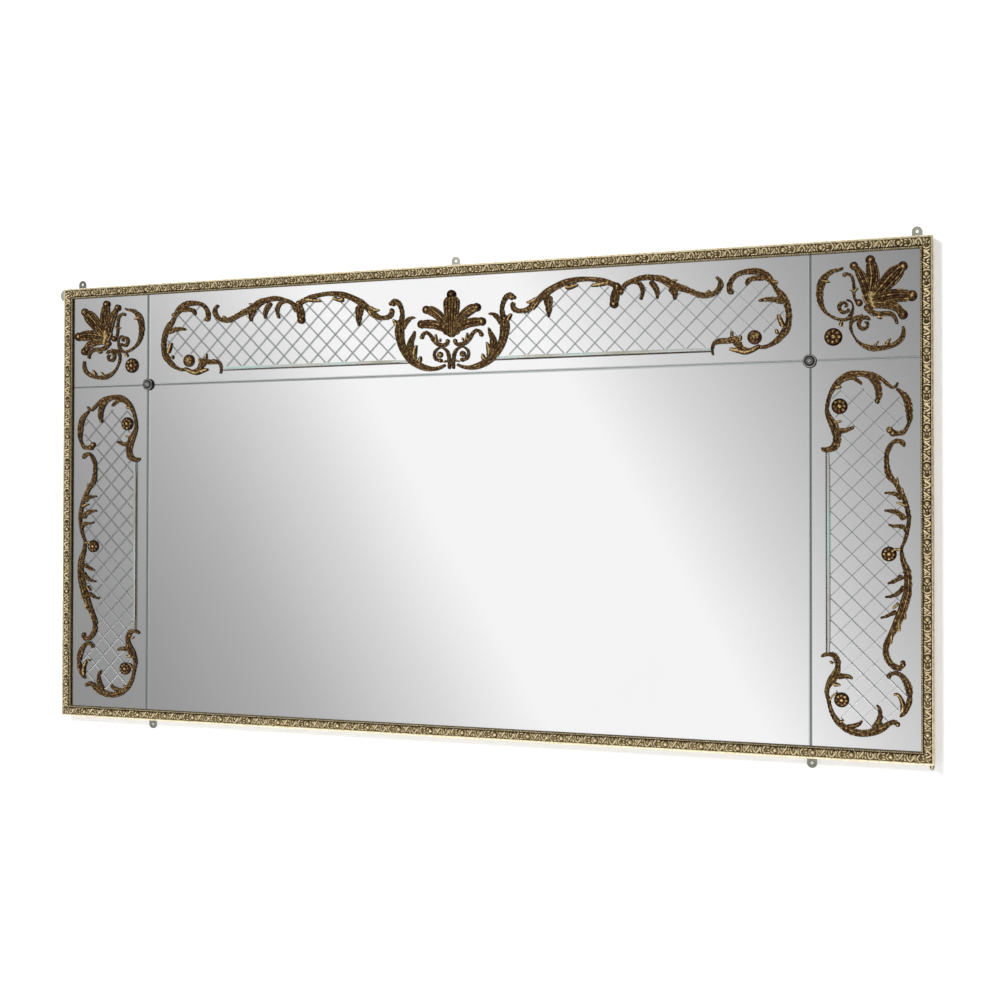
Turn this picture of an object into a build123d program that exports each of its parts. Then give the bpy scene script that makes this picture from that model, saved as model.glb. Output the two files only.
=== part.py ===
from build123d import *
import math
import os

os.makedirs("parts", exist_ok=True)

# Axes and units
# Millimetres. X runs along the mirror, +Z is up, the wall is the plane y = 0 and the mirror
# faces -Y. The origin is the middle of the back. "u" is the distance inwards from the outer edge.

# Overall size
WIDTH = 2050.0
HEIGHT = 1050.0

# Layers, counted from the wall forwards
CHASSIS_T = 18.0
PANEL_T = 5.0
PAD_T = 1.5
GLASS_T = 5.0
LIP_GAP = 0.3

# Where the six panes meet
JOINT_INSET = 241.0
JOINT_DROP = 242.5
JOINT_GAP = 0.6
BEVEL_W = 3.2
BEVEL_DEPTH = 0.9
SETTING_BLOCK_H = 1.5

# Moulding section
SHEATH_T = 0.8
FLANGE_CLEAR = 0.5
FILLET_W = 4.5
FILLET_H = 3.0
CUSHION_W = 16.5
CUSHION_H = 6.0
QUIRK_H = 2.7
BEAD_W = 4.0
BEAD_H = 4.6
CORE_W = 15.2

# Chassis behind the panes
RAIL_W = 70.0
INNER_STILE_W = 90.0
DOWEL_R = 4.0
DOWEL_L = 50.0
DOWEL_SPREAD = 36.0
PANEL_CLEAR = 0.5
HOLE_CLEAR = 0.05

# Mirror plates on the back
PLATE_W = 20.0
PLATE_T = 2.0
PLATE_TAIL = 50.0
PLATE_HOLE_OUT = 14.0
PLATE_HOLE_R = 3.25
PLATE_FIX_1 = 15.0
PLATE_FIX_2 = 38.0
PLATE_INSET = 32.0
PLATE_POCKET_CLEAR = 0.2

# Short round-headed plate past the left edge, near the top corner
SIDE_PLATE_HEAD_R = 15.5
SIDE_PLATE_HOLE_OUT = 17.0
SIDE_PLATE_DROP = 10.5
SIDE_PLATE_W = 16.0
SIDE_PLATE_GAP = 4.0

# Rosettes over the crossings of the joints
ROSETTE_R = 14.0
ROSETTE_H = 6.5
ROSETTE_SCREW_R = 2.1
ROSETTE_SCREW_BITE = 14.0
ROSETTE_HEAD_R = 5.2
ROSETTE_HEAD_H = 3.2
ROSETTE_SEAT_DEPTH = 2.0
WASHER_T = 1.0
WASHER_INSET = 2.0
NOTCH_R = 5.0
SLEEVE_CLEAR = 0.4
BORE_CLEAR = 0.2

# Wood screws
SCREW_R = 1.9
SCREW_HEAD_R = 3.8
SCREW_HEAD_H = 2.6
CORE_SCREW_BITE = 9.0
PANEL_SCREW_BITE = 11.0
PLATE_SCREW_L = 14.0
SCREW_MARGIN = 115.0
RAIL_SCREWS = 8
STILE_SCREWS = 4
PANEL_SCREW_U = 45.0

# Moulding pins through the outer flange
PIN_R = 0.8
PIN_L = 11.0
PIN_HEAD_R = 1.6
PIN_HEAD_H = 0.6
PIN_CLEAR = 0.6
RAIL_PINS = 11
STILE_PINS = 5
PIN_MARGIN = 60.0

# Felt pads and setting blocks
PAD_SIZE = 30.0
PAD_INSET = 28.0
BLOCK_L = 60.0

# Wheel-cut trellis
TRELLIS_PITCH = 44.0
CUT_W = 2.4
CUT_DEPTH = 0.6

# Gilded relief
RELIEF_T = 1.5
BAND_W = 9.0
STROKE_STEPS = 3

# Derived planes
HALF_W = WIDTH / 2
HALF_H = HEIGHT / 2
JOINT_X = HALF_W - JOINT_INSET
JOINT_Z = HALF_H - JOINT_DROP
CHASSIS_Y = -CHASSIS_T
PANEL_Y = CHASSIS_Y - PANEL_T
PANE_BACK_Y = PANEL_Y - PAD_T
GLASS_Y = PANE_BACK_Y - GLASS_T
LIP_Y = GLASS_Y - LIP_GAP
FILLET_Y = GLASS_Y - FILLET_H
CORE_Y = FILLET_Y + SHEATH_T
CORE_U0 = SHEATH_T
CORE_U1 = SHEATH_T + CORE_W
MOULDING_W = FILLET_W + CUSHION_W + BEAD_W
PANE_EDGE_U = CORE_U1 + SETTING_BLOCK_H
CHASSIS_HALF_W = HALF_W - SHEATH_T
CHASSIS_HALF_H = HALF_H - SHEATH_T

# Fasteners sized by what they pass through
FLANGE_START = PLATE_T + FLANGE_CLEAR
CORE_SCREW_L = CHASSIS_T + CORE_SCREW_BITE
CORE_SCREW_U = SHEATH_T + CORE_W / 2
PANEL_SCREW_L = PANEL_T + PANEL_SCREW_BITE
ROSETTE_TIP_Y = CHASSIS_Y + ROSETTE_SCREW_BITE
WASHER_R = ROSETTE_R - WASHER_INSET
# The side plate's tail stops short of the plate beside it, with its screw half way along
SIDE_PLATE_TAIL = PLATE_INSET - PLATE_W / 2 - SIDE_PLATE_GAP
SIDE_PLATE_FIX = SIDE_PLATE_TAIL / 2
# The pins lie in front of the tips of the core screws, so the two never meet
PIN_DEPTH = CORE_SCREW_L + PIN_HEAD_R + PIN_CLEAR


# Helpers

def save(name, solids):
    """Write one sub-part, given as a solid or as a list of separate solids."""
    solids = solids if isinstance(solids, list) else [solids]
    shape = solids[0] if len(solids) == 1 else Compound(children=solids)
    export_step(shape, f"parts/{name}.step")
    print(name, len(solids), round(sum(s.volume for s in solids)))


def block(x0, x1, y0, y1, z0, z1):
    """A box between two corners."""
    centre = Pos((x0 + x1) / 2, (y0 + y1) / 2, (z0 + z1) / 2)
    return (centre * Box(abs(x1 - x0), abs(y1 - y0), abs(z1 - z0))).solid()


def rod_y(x, z, radius, y0, y1):
    """A round rod along Y."""
    rod = Pos(x, (y0 + y1) / 2, z) * Rot(90, 0, 0) * Cylinder(radius, abs(y1 - y0))
    return rod.solid()


def cut_all(shape, tools):
    """Take every tool out of the shape in one go and give back its one solid."""
    if not tools:
        return shape
    return shape.cut(*tools).solids().sort_by(SortBy.VOLUME)[-1]


def turned_y(points, x=0.0, z=0.0):
    """A solid turned about the Y axis from a closed outline of (radius, y) points."""
    face = make_face(Polyline(*[(r, y, 0) for r, y in points], close=True))
    return (Pos(x, 0, z) * revolve(face, Axis.Y)).solid()


def wedge_cut(x0, z0, x1, z1, half_w, depth):
    """A V-shaped prism along a line on the front of the glass."""
    length = math.hypot(x1 - x0, z1 - z0)
    outline = Polyline((-half_w, 0), (half_w, 0), (0, depth), close=True)
    prism = extrude(make_face(outline), length)
    turn = math.degrees(math.atan2(x1 - x0, z1 - z0))
    return (Pos(x0, GLASS_Y, z0) * Rot(0, turn, 0) * prism).solid()


def spaced(count, span, margin):
    """Evenly spaced places along a side, the outer ones a margin in from its ends."""
    step = (span - 2 * margin) / (count - 1)
    return [(i - (count - 1) / 2) * step for i in range(count)]


# Wood screw, countersunk, with a slot

def wood_screw(length, point_y=-1):
    """A screw along Y with its head flush at y = 0; point_y is the way that it points."""
    s = point_y
    tip = length - 3.0
    outline = [
        (0, 0),
        (SCREW_HEAD_R, 0),
        (SCREW_R, s * SCREW_HEAD_H),
        (SCREW_R, s * tip),
        (0, s * length),
    ]
    body = turned_y(outline)
    slot = block(-SCREW_HEAD_R - 1, SCREW_HEAD_R + 1, s * -1, s * 1.0, -0.45, 0.45)
    return cut_all(body, [slot])


def screw_hole(length, point_y=-1):
    """The hole that a wood screw sits in, a named clearance larger all over."""
    s = point_y
    c = HOLE_CLEAR
    outline = [
        (0, -s * 1),
        (SCREW_HEAD_R + c, -s * 1),
        (SCREW_HEAD_R + c, s * c),
        (SCREW_R + c, s * (SCREW_HEAD_H + c)),
        (SCREW_R + c, s * (length + c)),
        (0, s * (length + c)),
    ]
    return turned_y(outline)


# Places of the fasteners

CORE_SCREW_PLACES = [
    (x, side * (HALF_H - CORE_SCREW_U))
    for side in (-1, 1)
    for x in spaced(RAIL_SCREWS, WIDTH, SCREW_MARGIN)
] + [
    (side * (HALF_W - CORE_SCREW_U), z)
    for side in (-1, 1)
    for z in spaced(STILE_SCREWS, HEIGHT, SCREW_MARGIN)
]
PANEL_SCREW_PLACES = [
    (x, side * (HALF_H - PANEL_SCREW_U))
    for side in (-1, 1)
    for x in spaced(RAIL_SCREWS, WIDTH, SCREW_MARGIN)
] + [
    (side * x, z)
    for side in (-1, 1)
    for x in (HALF_W - PANEL_SCREW_U, JOINT_X)
    for z in spaced(STILE_SCREWS, HEIGHT, SCREW_MARGIN + RAIL_W)
]
PLATE_PLACES = {
    "plate_top_left": (-(HALF_W - PLATE_INSET), 1),
    "plate_top_centre": (0.0, 1),
    "plate_top_right": (HALF_W - PLATE_INSET, 1),
    "plate_bottom_left": (-JOINT_X, -1),
    "plate_bottom_right": (JOINT_X, -1),
}
PLATE_SCREW_PLACES = [
    (x, up * (HALF_H - drop))
    for x, up in PLATE_PLACES.values()
    for drop in (PLATE_FIX_1, PLATE_FIX_2)
]
SIDE_PLATE_Z = HALF_H - SIDE_PLATE_DROP
SIDE_PLATE_FIX_X = -(HALF_W - SIDE_PLATE_FIX)
PLATE_SCREW_PLACES.append((SIDE_PLATE_FIX_X, SIDE_PLATE_Z))
ROSETTE_PLACES = {"left": -JOINT_X, "right": JOINT_X}


# Chassis of rails and stiles

RAIL_TOP_Z0 = CHASSIS_HALF_H - RAIL_W
STILE_X0 = CHASSIS_HALF_W - RAIL_W
INNER_X0 = JOINT_X - INNER_STILE_W / 2
INNER_X1 = JOINT_X + INNER_STILE_W / 2
MIDDLE_Z0 = JOINT_Z - RAIL_W / 2
MIDDLE_Z1 = JOINT_Z + RAIL_W / 2

CHASSIS_MEMBERS = {
    "chassis_rail_top": (-CHASSIS_HALF_W, CHASSIS_HALF_W, RAIL_TOP_Z0, CHASSIS_HALF_H),
    "chassis_rail_bottom": (-CHASSIS_HALF_W, CHASSIS_HALF_W, -CHASSIS_HALF_H, -RAIL_TOP_Z0),
    "chassis_stile_left": (-CHASSIS_HALF_W, -STILE_X0, -RAIL_TOP_Z0, RAIL_TOP_Z0),
    "chassis_stile_right": (STILE_X0, CHASSIS_HALF_W, -RAIL_TOP_Z0, RAIL_TOP_Z0),
    "chassis_inner_stile_left": (-INNER_X1, -INNER_X0, -RAIL_TOP_Z0, RAIL_TOP_Z0),
    "chassis_inner_stile_right": (INNER_X0, INNER_X1, -RAIL_TOP_Z0, RAIL_TOP_Z0),
    "chassis_middle_rail": (-INNER_X0, INNER_X0, MIDDLE_Z0, MIDDLE_Z1),
    "chassis_side_rail_left": (-STILE_X0, -INNER_X1, MIDDLE_Z0, MIDDLE_Z1),
    "chassis_side_rail_right": (INNER_X1, STILE_X0, MIDDLE_Z0, MIDDLE_Z1),
    "chassis_muntin": (-RAIL_W / 2, RAIL_W / 2, -RAIL_TOP_Z0, MIDDLE_Z0),
}

UPRIGHT_JOINTS = [
    (side * x, up * RAIL_TOP_Z0)
    for side in (-1, 1)
    for up in (-1, 1)
    for x in ((STILE_X0 + CHASSIS_HALF_W) / 2, JOINT_X)
] + [(0.0, -RAIL_TOP_Z0), (0.0, MIDDLE_Z0)]
LEVEL_JOINTS = [(side * x, JOINT_Z) for side in (-1, 1) for x in (INNER_X0, INNER_X1, STILE_X0)]


def dowels(radius, length):
    """Two dowels across each joint of the chassis."""
    made = []
    for x, z in UPRIGHT_JOINTS:
        for dx in (-DOWEL_SPREAD / 2, DOWEL_SPREAD / 2):
            made.append((Pos(x + dx, CHASSIS_Y / 2, z) * Cylinder(radius, length)).solid())
    for x, z in LEVEL_JOINTS:
        for dz in (-DOWEL_SPREAD / 2, DOWEL_SPREAD / 2):
            rod = Pos(x, CHASSIS_Y / 2, z + dz) * Rot(0, 90, 0) * Cylinder(radius, length)
            made.append(rod.solid())
    return made


def plate_blank(x, up, grow=0.0, holes=True):
    """A round-ended mirror plate let in flush with the back, its ear past the edge."""
    ear_z = up * (HALF_H + PLATE_HOLE_OUT)
    tail_z = up * (HALF_H - PLATE_TAIL - grow)
    half = PLATE_W / 2 + grow
    strip = block(x - half, x + half, 0, -PLATE_T, tail_z, ear_z)
    shape = strip.fuse(rod_y(x, ear_z, half, 0, -PLATE_T)).solid()
    if not holes:
        return shape
    tools = [rod_y(x, ear_z, PLATE_HOLE_R, 1, -PLATE_T - 1)]
    for drop in (PLATE_FIX_1, PLATE_FIX_2):
        hole = screw_hole(PLATE_SCREW_L)
        tools.append(hole.moved(Location((x, 0, up * (HALF_H - drop)))))
    return cut_all(shape, tools)


def side_plate_blank(grow=0.0, holes=True):
    """The short plate let in behind the left edge, with a round head wider than its strip."""
    head_x = -(HALF_W + SIDE_PLATE_HOLE_OUT)
    tail_x = -(HALF_W - SIDE_PLATE_TAIL - grow)
    half = SIDE_PLATE_W / 2 + grow
    strip = block(head_x, tail_x, 0, -PLATE_T, SIDE_PLATE_Z - half, SIDE_PLATE_Z + half)
    head = rod_y(head_x, SIDE_PLATE_Z, SIDE_PLATE_HEAD_R + grow, 0, -PLATE_T)
    shape = strip.fuse(head).solid()
    if not holes:
        return shape
    wall_hole = rod_y(head_x, SIDE_PLATE_Z, PLATE_HOLE_R, 1, -PLATE_T - 1)
    fixing = screw_hole(PLATE_SCREW_L).moved(Location((SIDE_PLATE_FIX_X, 0, SIDE_PLATE_Z)))
    return cut_all(shape, [wall_hole, fixing])


def rosette_shaft(radius, y0, y1):
    """Rods on both rosette axes."""
    return [rod_y(x, JOINT_Z, radius, y0, y1) for x in ROSETTE_PLACES.values()]


def overlaps(shape, tools):
    """The tools whose boxes reach the box of the shape."""
    a = shape.bounding_box()
    near = []
    for tool in tools:
        b = tool.bounding_box()
        apart = (
            a.min.X > b.max.X or b.min.X > a.max.X
            or a.min.Y > b.max.Y or b.min.Y > a.max.Y
            or a.min.Z > b.max.Z or b.min.Z > a.max.Z
        )
        if not apart:
            near.append(tool)
    return near


def placed(shape, places, y=0.0):
    """Copies of a shape at a list of (x, z) places."""
    return [shape.moved(Location((x, y, z))) for x, z in places]


CORE_HOLES = placed(screw_hole(CORE_SCREW_L), CORE_SCREW_PLACES)
PANEL_HOLES = placed(screw_hole(PANEL_SCREW_L, 1), PANEL_SCREW_PLACES, PANEL_Y)
PLATE_HOLES = placed(screw_hole(PLATE_SCREW_L), PLATE_SCREW_PLACES)
PLATE_POCKETS = [
    plate_blank(x, up, PLATE_POCKET_CLEAR, holes=False) for x, up in PLATE_PLACES.values()
] + [side_plate_blank(PLATE_POCKET_CLEAR, holes=False)]
DOWEL_HOLES = dowels(DOWEL_R + HOLE_CLEAR, DOWEL_L + 2 * HOLE_CLEAR)
ROSETTE_PILOTS = rosette_shaft(ROSETTE_SCREW_R + HOLE_CLEAR, CHASSIS_Y - 1, ROSETTE_TIP_Y + HOLE_CLEAR)


# Moulding pins through the flange

def pins(outline):
    """Copies of a turned outline all round the flange, each pointing inwards."""
    made = []
    sides = [
        (90, [(x, HALF_H) for x in spaced(RAIL_PINS, WIDTH, PIN_MARGIN)]),
        (-90, [(x, -HALF_H) for x in spaced(RAIL_PINS, WIDTH, PIN_MARGIN)]),
        (0, [(HALF_W, z) for z in spaced(STILE_PINS, HEIGHT, PIN_MARGIN)]),
        (180, [(-HALF_W, z) for z in spaced(STILE_PINS, HEIGHT, PIN_MARGIN)]),
    ]
    pin = turned_y(outline)
    for angle, places in sides:
        for x, z in places:
            turn = Rot(0, -angle, 0) * Rot(0, 0, -90)
            made.append((Pos(x, -PIN_DEPTH, z) * turn * pin).solid())
    return made


PIN_OUTLINE = [
    (0, PIN_HEAD_H),
    (PIN_HEAD_R * 0.6, PIN_HEAD_H * 0.85),
    (PIN_HEAD_R, 0),
    (PIN_R, 0),
    (PIN_R, -PIN_L),
    (0, -PIN_L),
]
PIN_HOLE_OUTLINE = [
    (0, 0.2),
    (PIN_R + HOLE_CLEAR, 0.2),
    (PIN_R + HOLE_CLEAR, -PIN_L - HOLE_CLEAR),
    (0, -PIN_L - HOLE_CLEAR),
]
PIN_HOLES = pins(PIN_HOLE_OUTLINE)

# Chassis nodes

for name, (x0, x1, z0, z1) in CHASSIS_MEMBERS.items():
    member = block(x0, x1, 0, CHASSIS_Y, z0, z1)
    tools = CORE_HOLES + PANEL_HOLES + PLATE_HOLES + PLATE_POCKETS + DOWEL_HOLES
    tools = tools + ROSETTE_PILOTS
    save(name, cut_all(member, overlaps(member, tools)))

save("chassis_dowels", dowels(DOWEL_R, DOWEL_L))

# Plywood panel behind the panes

PANEL_HALF_W = HALF_W - CORE_U1 - PANEL_CLEAR
PANEL_HALF_H = HALF_H - CORE_U1 - PANEL_CLEAR
panel = block(-PANEL_HALF_W, PANEL_HALF_W, CHASSIS_Y, PANEL_Y, -PANEL_HALF_H, PANEL_HALF_H)
panel_tools = PANEL_HOLES + rosette_shaft(ROSETTE_SCREW_R + BORE_CLEAR, PANEL_Y - 1, CHASSIS_Y + 1)
save("backing_panel", cut_all(panel, panel_tools))
save("panel_screws", placed(wood_screw(PANEL_SCREW_L, 1), PANEL_SCREW_PLACES, PANEL_Y))

# Panes of mirror glass

PANE_X1 = HALF_W - PANE_EDGE_U
PANE_Z1 = HALF_H - PANE_EDGE_U
IN_X = JOINT_X - JOINT_GAP / 2
OUT_X = JOINT_X + JOINT_GAP / 2
LOW_Z = JOINT_Z - JOINT_GAP / 2
HIGH_Z = JOINT_Z + JOINT_GAP / 2

PANES = {
    "pane_centre": (-IN_X, IN_X, -PANE_Z1, LOW_Z),
    "pane_top": (-IN_X, IN_X, HIGH_Z, PANE_Z1),
    "pane_side_left": (-PANE_X1, -OUT_X, -PANE_Z1, LOW_Z),
    "pane_side_right": (OUT_X, PANE_X1, -PANE_Z1, LOW_Z),
    "pane_corner_left": (-PANE_X1, -OUT_X, HIGH_Z, PANE_Z1),
    "pane_corner_right": (OUT_X, PANE_X1, HIGH_Z, PANE_Z1),
}

# Sizes of the panes that the drawings below were made for
DRAWN_TOP = (783.7, 283.0, 507.5)
DRAWN_SIDE = (784.3, 1007.5, -507.5, 282.2)
DRAWN_CORNER = (784.3, 1007.5, 282.8, 507.5)


def stretch(value, drawn0, drawn1, real0, real1):
    """Carry a drawn coordinate over to the pane's real extent."""
    return real0 + (value - drawn0) * (real1 - real0) / (drawn1 - drawn0)


def on_top(x, z):
    """A drawn point on the top pane."""
    drawn_x, drawn_z0, drawn_z1 = DRAWN_TOP
    return (
        stretch(x, -drawn_x, drawn_x, -IN_X, IN_X),
        stretch(z, drawn_z0, drawn_z1, HIGH_Z, PANE_Z1),
    )


def on_side(x, z):
    """A drawn point on the right side pane."""
    x0, x1, z0, z1 = DRAWN_SIDE
    return stretch(x, x0, x1, OUT_X, PANE_X1), stretch(z, z0, z1, -PANE_Z1, LOW_Z)


def on_corner(x, z):
    """A drawn point on the right corner pane."""
    x0, x1, z0, z1 = DRAWN_CORNER
    return stretch(x, x0, x1, OUT_X, PANE_X1), stretch(z, z0, z1, HIGH_Z, PANE_Z1)


# Outlines that the trellis stops at, right half of the top pane and right side pane

TRELLIS_TOP = [
    (136, 319), (136, 400), (158, 418), (178, 418), (194, 427), (217, 448), (242, 463),
    (282, 470), (322, 470), (354, 463), (370, 450), (373, 432), (386, 432), (394, 449),
    (414, 461), (434, 449), (452, 455), (472, 455), (502, 441), (532, 433), (562, 425),
    (592, 429), (614, 441), (627, 456), (647, 468), (672, 466), (697, 456), (712, 441),
    (716, 425), (728, 405), (733, 380), (730, 350), (712, 352), (700, 346), (687, 346),
    (670, 352), (652, 348), (642, 340), (622, 336), (592, 334), (579, 326), (572, 319),
]
TRELLIS_SIDE = [
    (823, -312), (823, 95), (838, 101), (842, 126), (836, 150), (834, 166), (826, 196),
    (830, 213), (847, 223), (890, 225), (909, 207), (932, 187), (946, 195), (960, 207),
    (968, 181), (964, 151), (947, 141), (930, 147), (930, 50), (950, 20), (962, -15),
    (970, -50), (974, -82), (964, -97), (937, -97), (927, -109), (930, -123), (947, -129),
    (964, -141), (962, -161), (952, -186), (960, -201), (950, -223), (940, -251),
    (930, -269), (928, -301), (932, -326), (947, -341), (942, -353), (960, -357),
    (974, -386), (964, -413), (952, -423), (932, -447), (902, -458), (872, -456),
    (848, -445), (834, -426), (826, -406), (834, -386), (842, -373), (844, -353),
    (842, -326), (838, -312),
]
TRELLIS_TOP_PHASE = (8.4, 35.6)
TRELLIS_SIDE_PHASE = (8.5, 7.5)


def inside(x, z, outline):
    """Whether a point lies inside a closed outline."""
    hit = False
    for (xa, za), (xb, zb) in zip(outline, outline[1:] + outline[:1]):
        if (za > z) != (zb > z) and x < xa + (z - za) * (xb - xa) / (zb - za):
            hit = not hit
    return hit


def clipped(p, q, outline):
    """The stretches of the line from p to q that lie inside the outline."""
    (px, pz), (qx, qz) = p, q
    dx, dz = qx - px, qz - pz
    marks = [0.0, 1.0]
    for (xa, za), (xb, zb) in zip(outline, outline[1:] + outline[:1]):
        ex, ez = xb - xa, zb - za
        det = dx * ez - dz * ex
        if abs(det) < 1e-9:
            continue
        t = ((xa - px) * ez - (za - pz) * ex) / det
        s = ((xa - px) * dz - (za - pz) * dx) / det
        if 0 <= s <= 1 and 0 < t < 1:
            marks.append(t)
    marks.sort()
    kept = []
    for t0, t1 in zip(marks, marks[1:]):
        middle = (t0 + t1) / 2
        long_enough = (t1 - t0) * math.hypot(dx, dz) > CUT_W
        if long_enough and inside(px + dx * middle, pz + dz * middle, outline):
            kept.append((px + dx * t0, pz + dz * t0, px + dx * t1, pz + dz * t1))
    return kept


def trellis(outline, phase):
    """Centre lines of the diagonal cuts inside an outline, both ways."""
    xs = [x for x, z in outline]
    zs = [z for x, z in outline]
    x0, x1, z0, z1 = min(xs), max(xs), min(zs), max(zs)
    lines = []
    for slope, start in ((1, phase[1]), (-1, phase[0])):
        low = x0 - slope * (z1 if slope > 0 else z0)
        high = x1 - slope * (z0 if slope > 0 else z1)
        number = math.ceil((low - start) / TRELLIS_PITCH)
        while start + number * TRELLIS_PITCH < high:
            c = start + number * TRELLIS_PITCH
            lines += clipped((c + slope * z0, z0), (c + slope * z1, z1), outline)
            number += 1
    return lines


def trellis_tools(pane_name):
    """V-cuts of the trellis on one pane."""
    if pane_name == "pane_top":
        drawn = trellis(TRELLIS_TOP, TRELLIS_TOP_PHASE)
        place, mirrored = on_top, (1, -1)
    elif pane_name in ("pane_side_left", "pane_side_right"):
        drawn = trellis(TRELLIS_SIDE, TRELLIS_SIDE_PHASE)
        place, mirrored = on_side, (1,) if pane_name.endswith("right") else (-1,)
    else:
        return []
    tools = []
    for xa, za, xb, zb in drawn:
        (xa, za), (xb, zb) = place(xa, za), place(xb, zb)
        for side in mirrored:
            tools.append(wedge_cut(side * xa, za, side * xb, zb, CUT_W / 2, CUT_DEPTH))
    return tools


JOINT_HALF = BEVEL_W + JOINT_GAP / 2
JOINT_DEPTH = BEVEL_DEPTH * JOINT_HALF / BEVEL_W
JOINT_CUTS = [
    wedge_cut(side * JOINT_X, -HALF_H, side * JOINT_X, HALF_H, JOINT_HALF, JOINT_DEPTH)
    for side in (-1, 1)
] + [wedge_cut(-HALF_W, JOINT_Z, HALF_W, JOINT_Z, JOINT_HALF, JOINT_DEPTH)]
NOTCHES = rosette_shaft(NOTCH_R, GLASS_Y - 1, PANEL_Y)

for name, (x0, x1, z0, z1) in PANES.items():
    pane = block(x0, x1, PANE_BACK_Y, GLASS_Y, z0, z1)
    pane = cut_all(pane, overlaps(pane, JOINT_CUTS + NOTCHES))
    save(name, cut_all(pane, trellis_tools(name)))

# Felt pads behind the panes and rubber blocks under them

pads = []
for x0, x1, z0, z1 in PANES.values():
    for x in (x0 + PAD_INSET, x1 - PAD_INSET):
        for z in (z0 + PAD_INSET, z1 - PAD_INSET):
            half = PAD_SIZE / 2
            pads.append(block(x - half, x + half, PANEL_Y, PANE_BACK_Y, z - half, z + half))
save("felt_pads", pads)

blocks = []
for name in ("pane_centre", "pane_side_left", "pane_side_right"):
    x0, x1, z0, z1 = PANES[name]
    for x in (x0 + (x1 - x0) / 4, x1 - (x1 - x0) / 4):
        low = -(HALF_H - CORE_U1)
        blocks.append(block(x - BLOCK_L / 2, x + BLOCK_L / 2, PANE_BACK_Y, GLASS_Y, low, z0))
save("setting_blocks", blocks)


# Frame: wooden core and pressed brass moulding, mitred

def mitred_bar(edges, length, edge_at):
    """A bar along X with 45 degree mitres, from the edges of its section in (u, y)."""
    face = make_face(edges)
    bar = extrude(face, length)
    # The section is drawn with u along local X and y along local Y, extruded along local Z.
    turn = Plane(origin=(-length / 2, 0, edge_at), x_dir=(0, 0, -1), z_dir=(1, 0, 0))
    bar = bar.moved(turn.location).solid()
    for side in (-1, 1):
        cutter = Plane(origin=(side * length / 2, 0, edge_at), z_dir=(side, 0, -1))
        bar = bar.split(cutter, keep=Keep.BOTTOM)
        bar = bar.solid() if hasattr(bar, "solid") else bar
    return bar


def core_section():
    """Rectangle of the wooden core."""
    return Polyline(
        (CORE_U0, CHASSIS_Y), (CORE_U0, CORE_Y), (CORE_U1, CORE_Y), (CORE_U1, CHASSIS_Y), close=True
    )


def brass_section():
    """Flange, rounded fillet, cushion, bead and the lip that laps the glass."""
    u1 = FILLET_W
    u2 = FILLET_W + CUSHION_W
    u3 = MOULDING_W
    foot_y = GLASS_Y - QUIRK_H
    round_r = 1.0
    corner = round_r * (1 - math.sqrt(0.5))
    return (
        Line((0, -FLANGE_START), (0, FILLET_Y + round_r))
        + ThreePointArc(
            (0, FILLET_Y + round_r), (corner, FILLET_Y + corner), (round_r, FILLET_Y)
        )
        + Line((round_r, FILLET_Y), (u1, FILLET_Y))
        + Line((u1, FILLET_Y), (u1, foot_y))
        + ThreePointArc((u1, foot_y), ((u1 + u2) / 2, GLASS_Y - CUSHION_H), (u2, foot_y))
        + ThreePointArc((u2, foot_y), ((u2 + u3) / 2, GLASS_Y - BEAD_H), (u3, foot_y))
        + Line((u3, foot_y), (u3, LIP_Y))
        + Line((u3, LIP_Y), (CORE_U1, LIP_Y))
        + Line((CORE_U1, LIP_Y), (CORE_U1, CORE_Y))
        + Line((CORE_U1, CORE_Y), (CORE_U0, CORE_Y))
        + Line((CORE_U0, CORE_Y), (CORE_U0, -FLANGE_START))
        + Line((CORE_U0, -FLANGE_START), (0, -FLANGE_START))
    )


SIDES = {
    "top": (0, WIDTH, HALF_H),
    "right": (90, HEIGHT, HALF_W),
    "bottom": (180, WIDTH, HALF_H),
    "left": (-90, HEIGHT, HALF_W),
}

for side, (angle, length, edge_at) in SIDES.items():
    turn = Rot(0, angle, 0)
    core = (turn * mitred_bar(core_section(), length, edge_at)).solid()
    brass = (turn * mitred_bar(brass_section(), length, edge_at)).solid()
    save(f"frame_core_{side}", cut_all(core, overlaps(core, CORE_HOLES + PIN_HOLES)))
    save(f"brass_moulding_{side}", cut_all(brass, overlaps(brass, PIN_HOLES)))

save("core_screws", placed(wood_screw(CORE_SCREW_L), CORE_SCREW_PLACES))
save("moulding_pins", pins(PIN_OUTLINE))

# Mirror plates and their screws

for name, (x, up) in PLATE_PLACES.items():
    save(name, plate_blank(x, up))
save("plate_side_left", side_plate_blank())
save("plate_screws", placed(wood_screw(PLATE_SCREW_L), PLATE_SCREW_PLACES))

# Rosettes

CAP_BACK_Y = GLASS_Y - WASHER_T
CAP_FRONT_Y = CAP_BACK_Y - ROSETTE_H
SEAT_Y = CAP_FRONT_Y + ROSETTE_SEAT_DEPTH
SHAFT_HOLE_R = ROSETTE_SCREW_R + BORE_CLEAR


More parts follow.
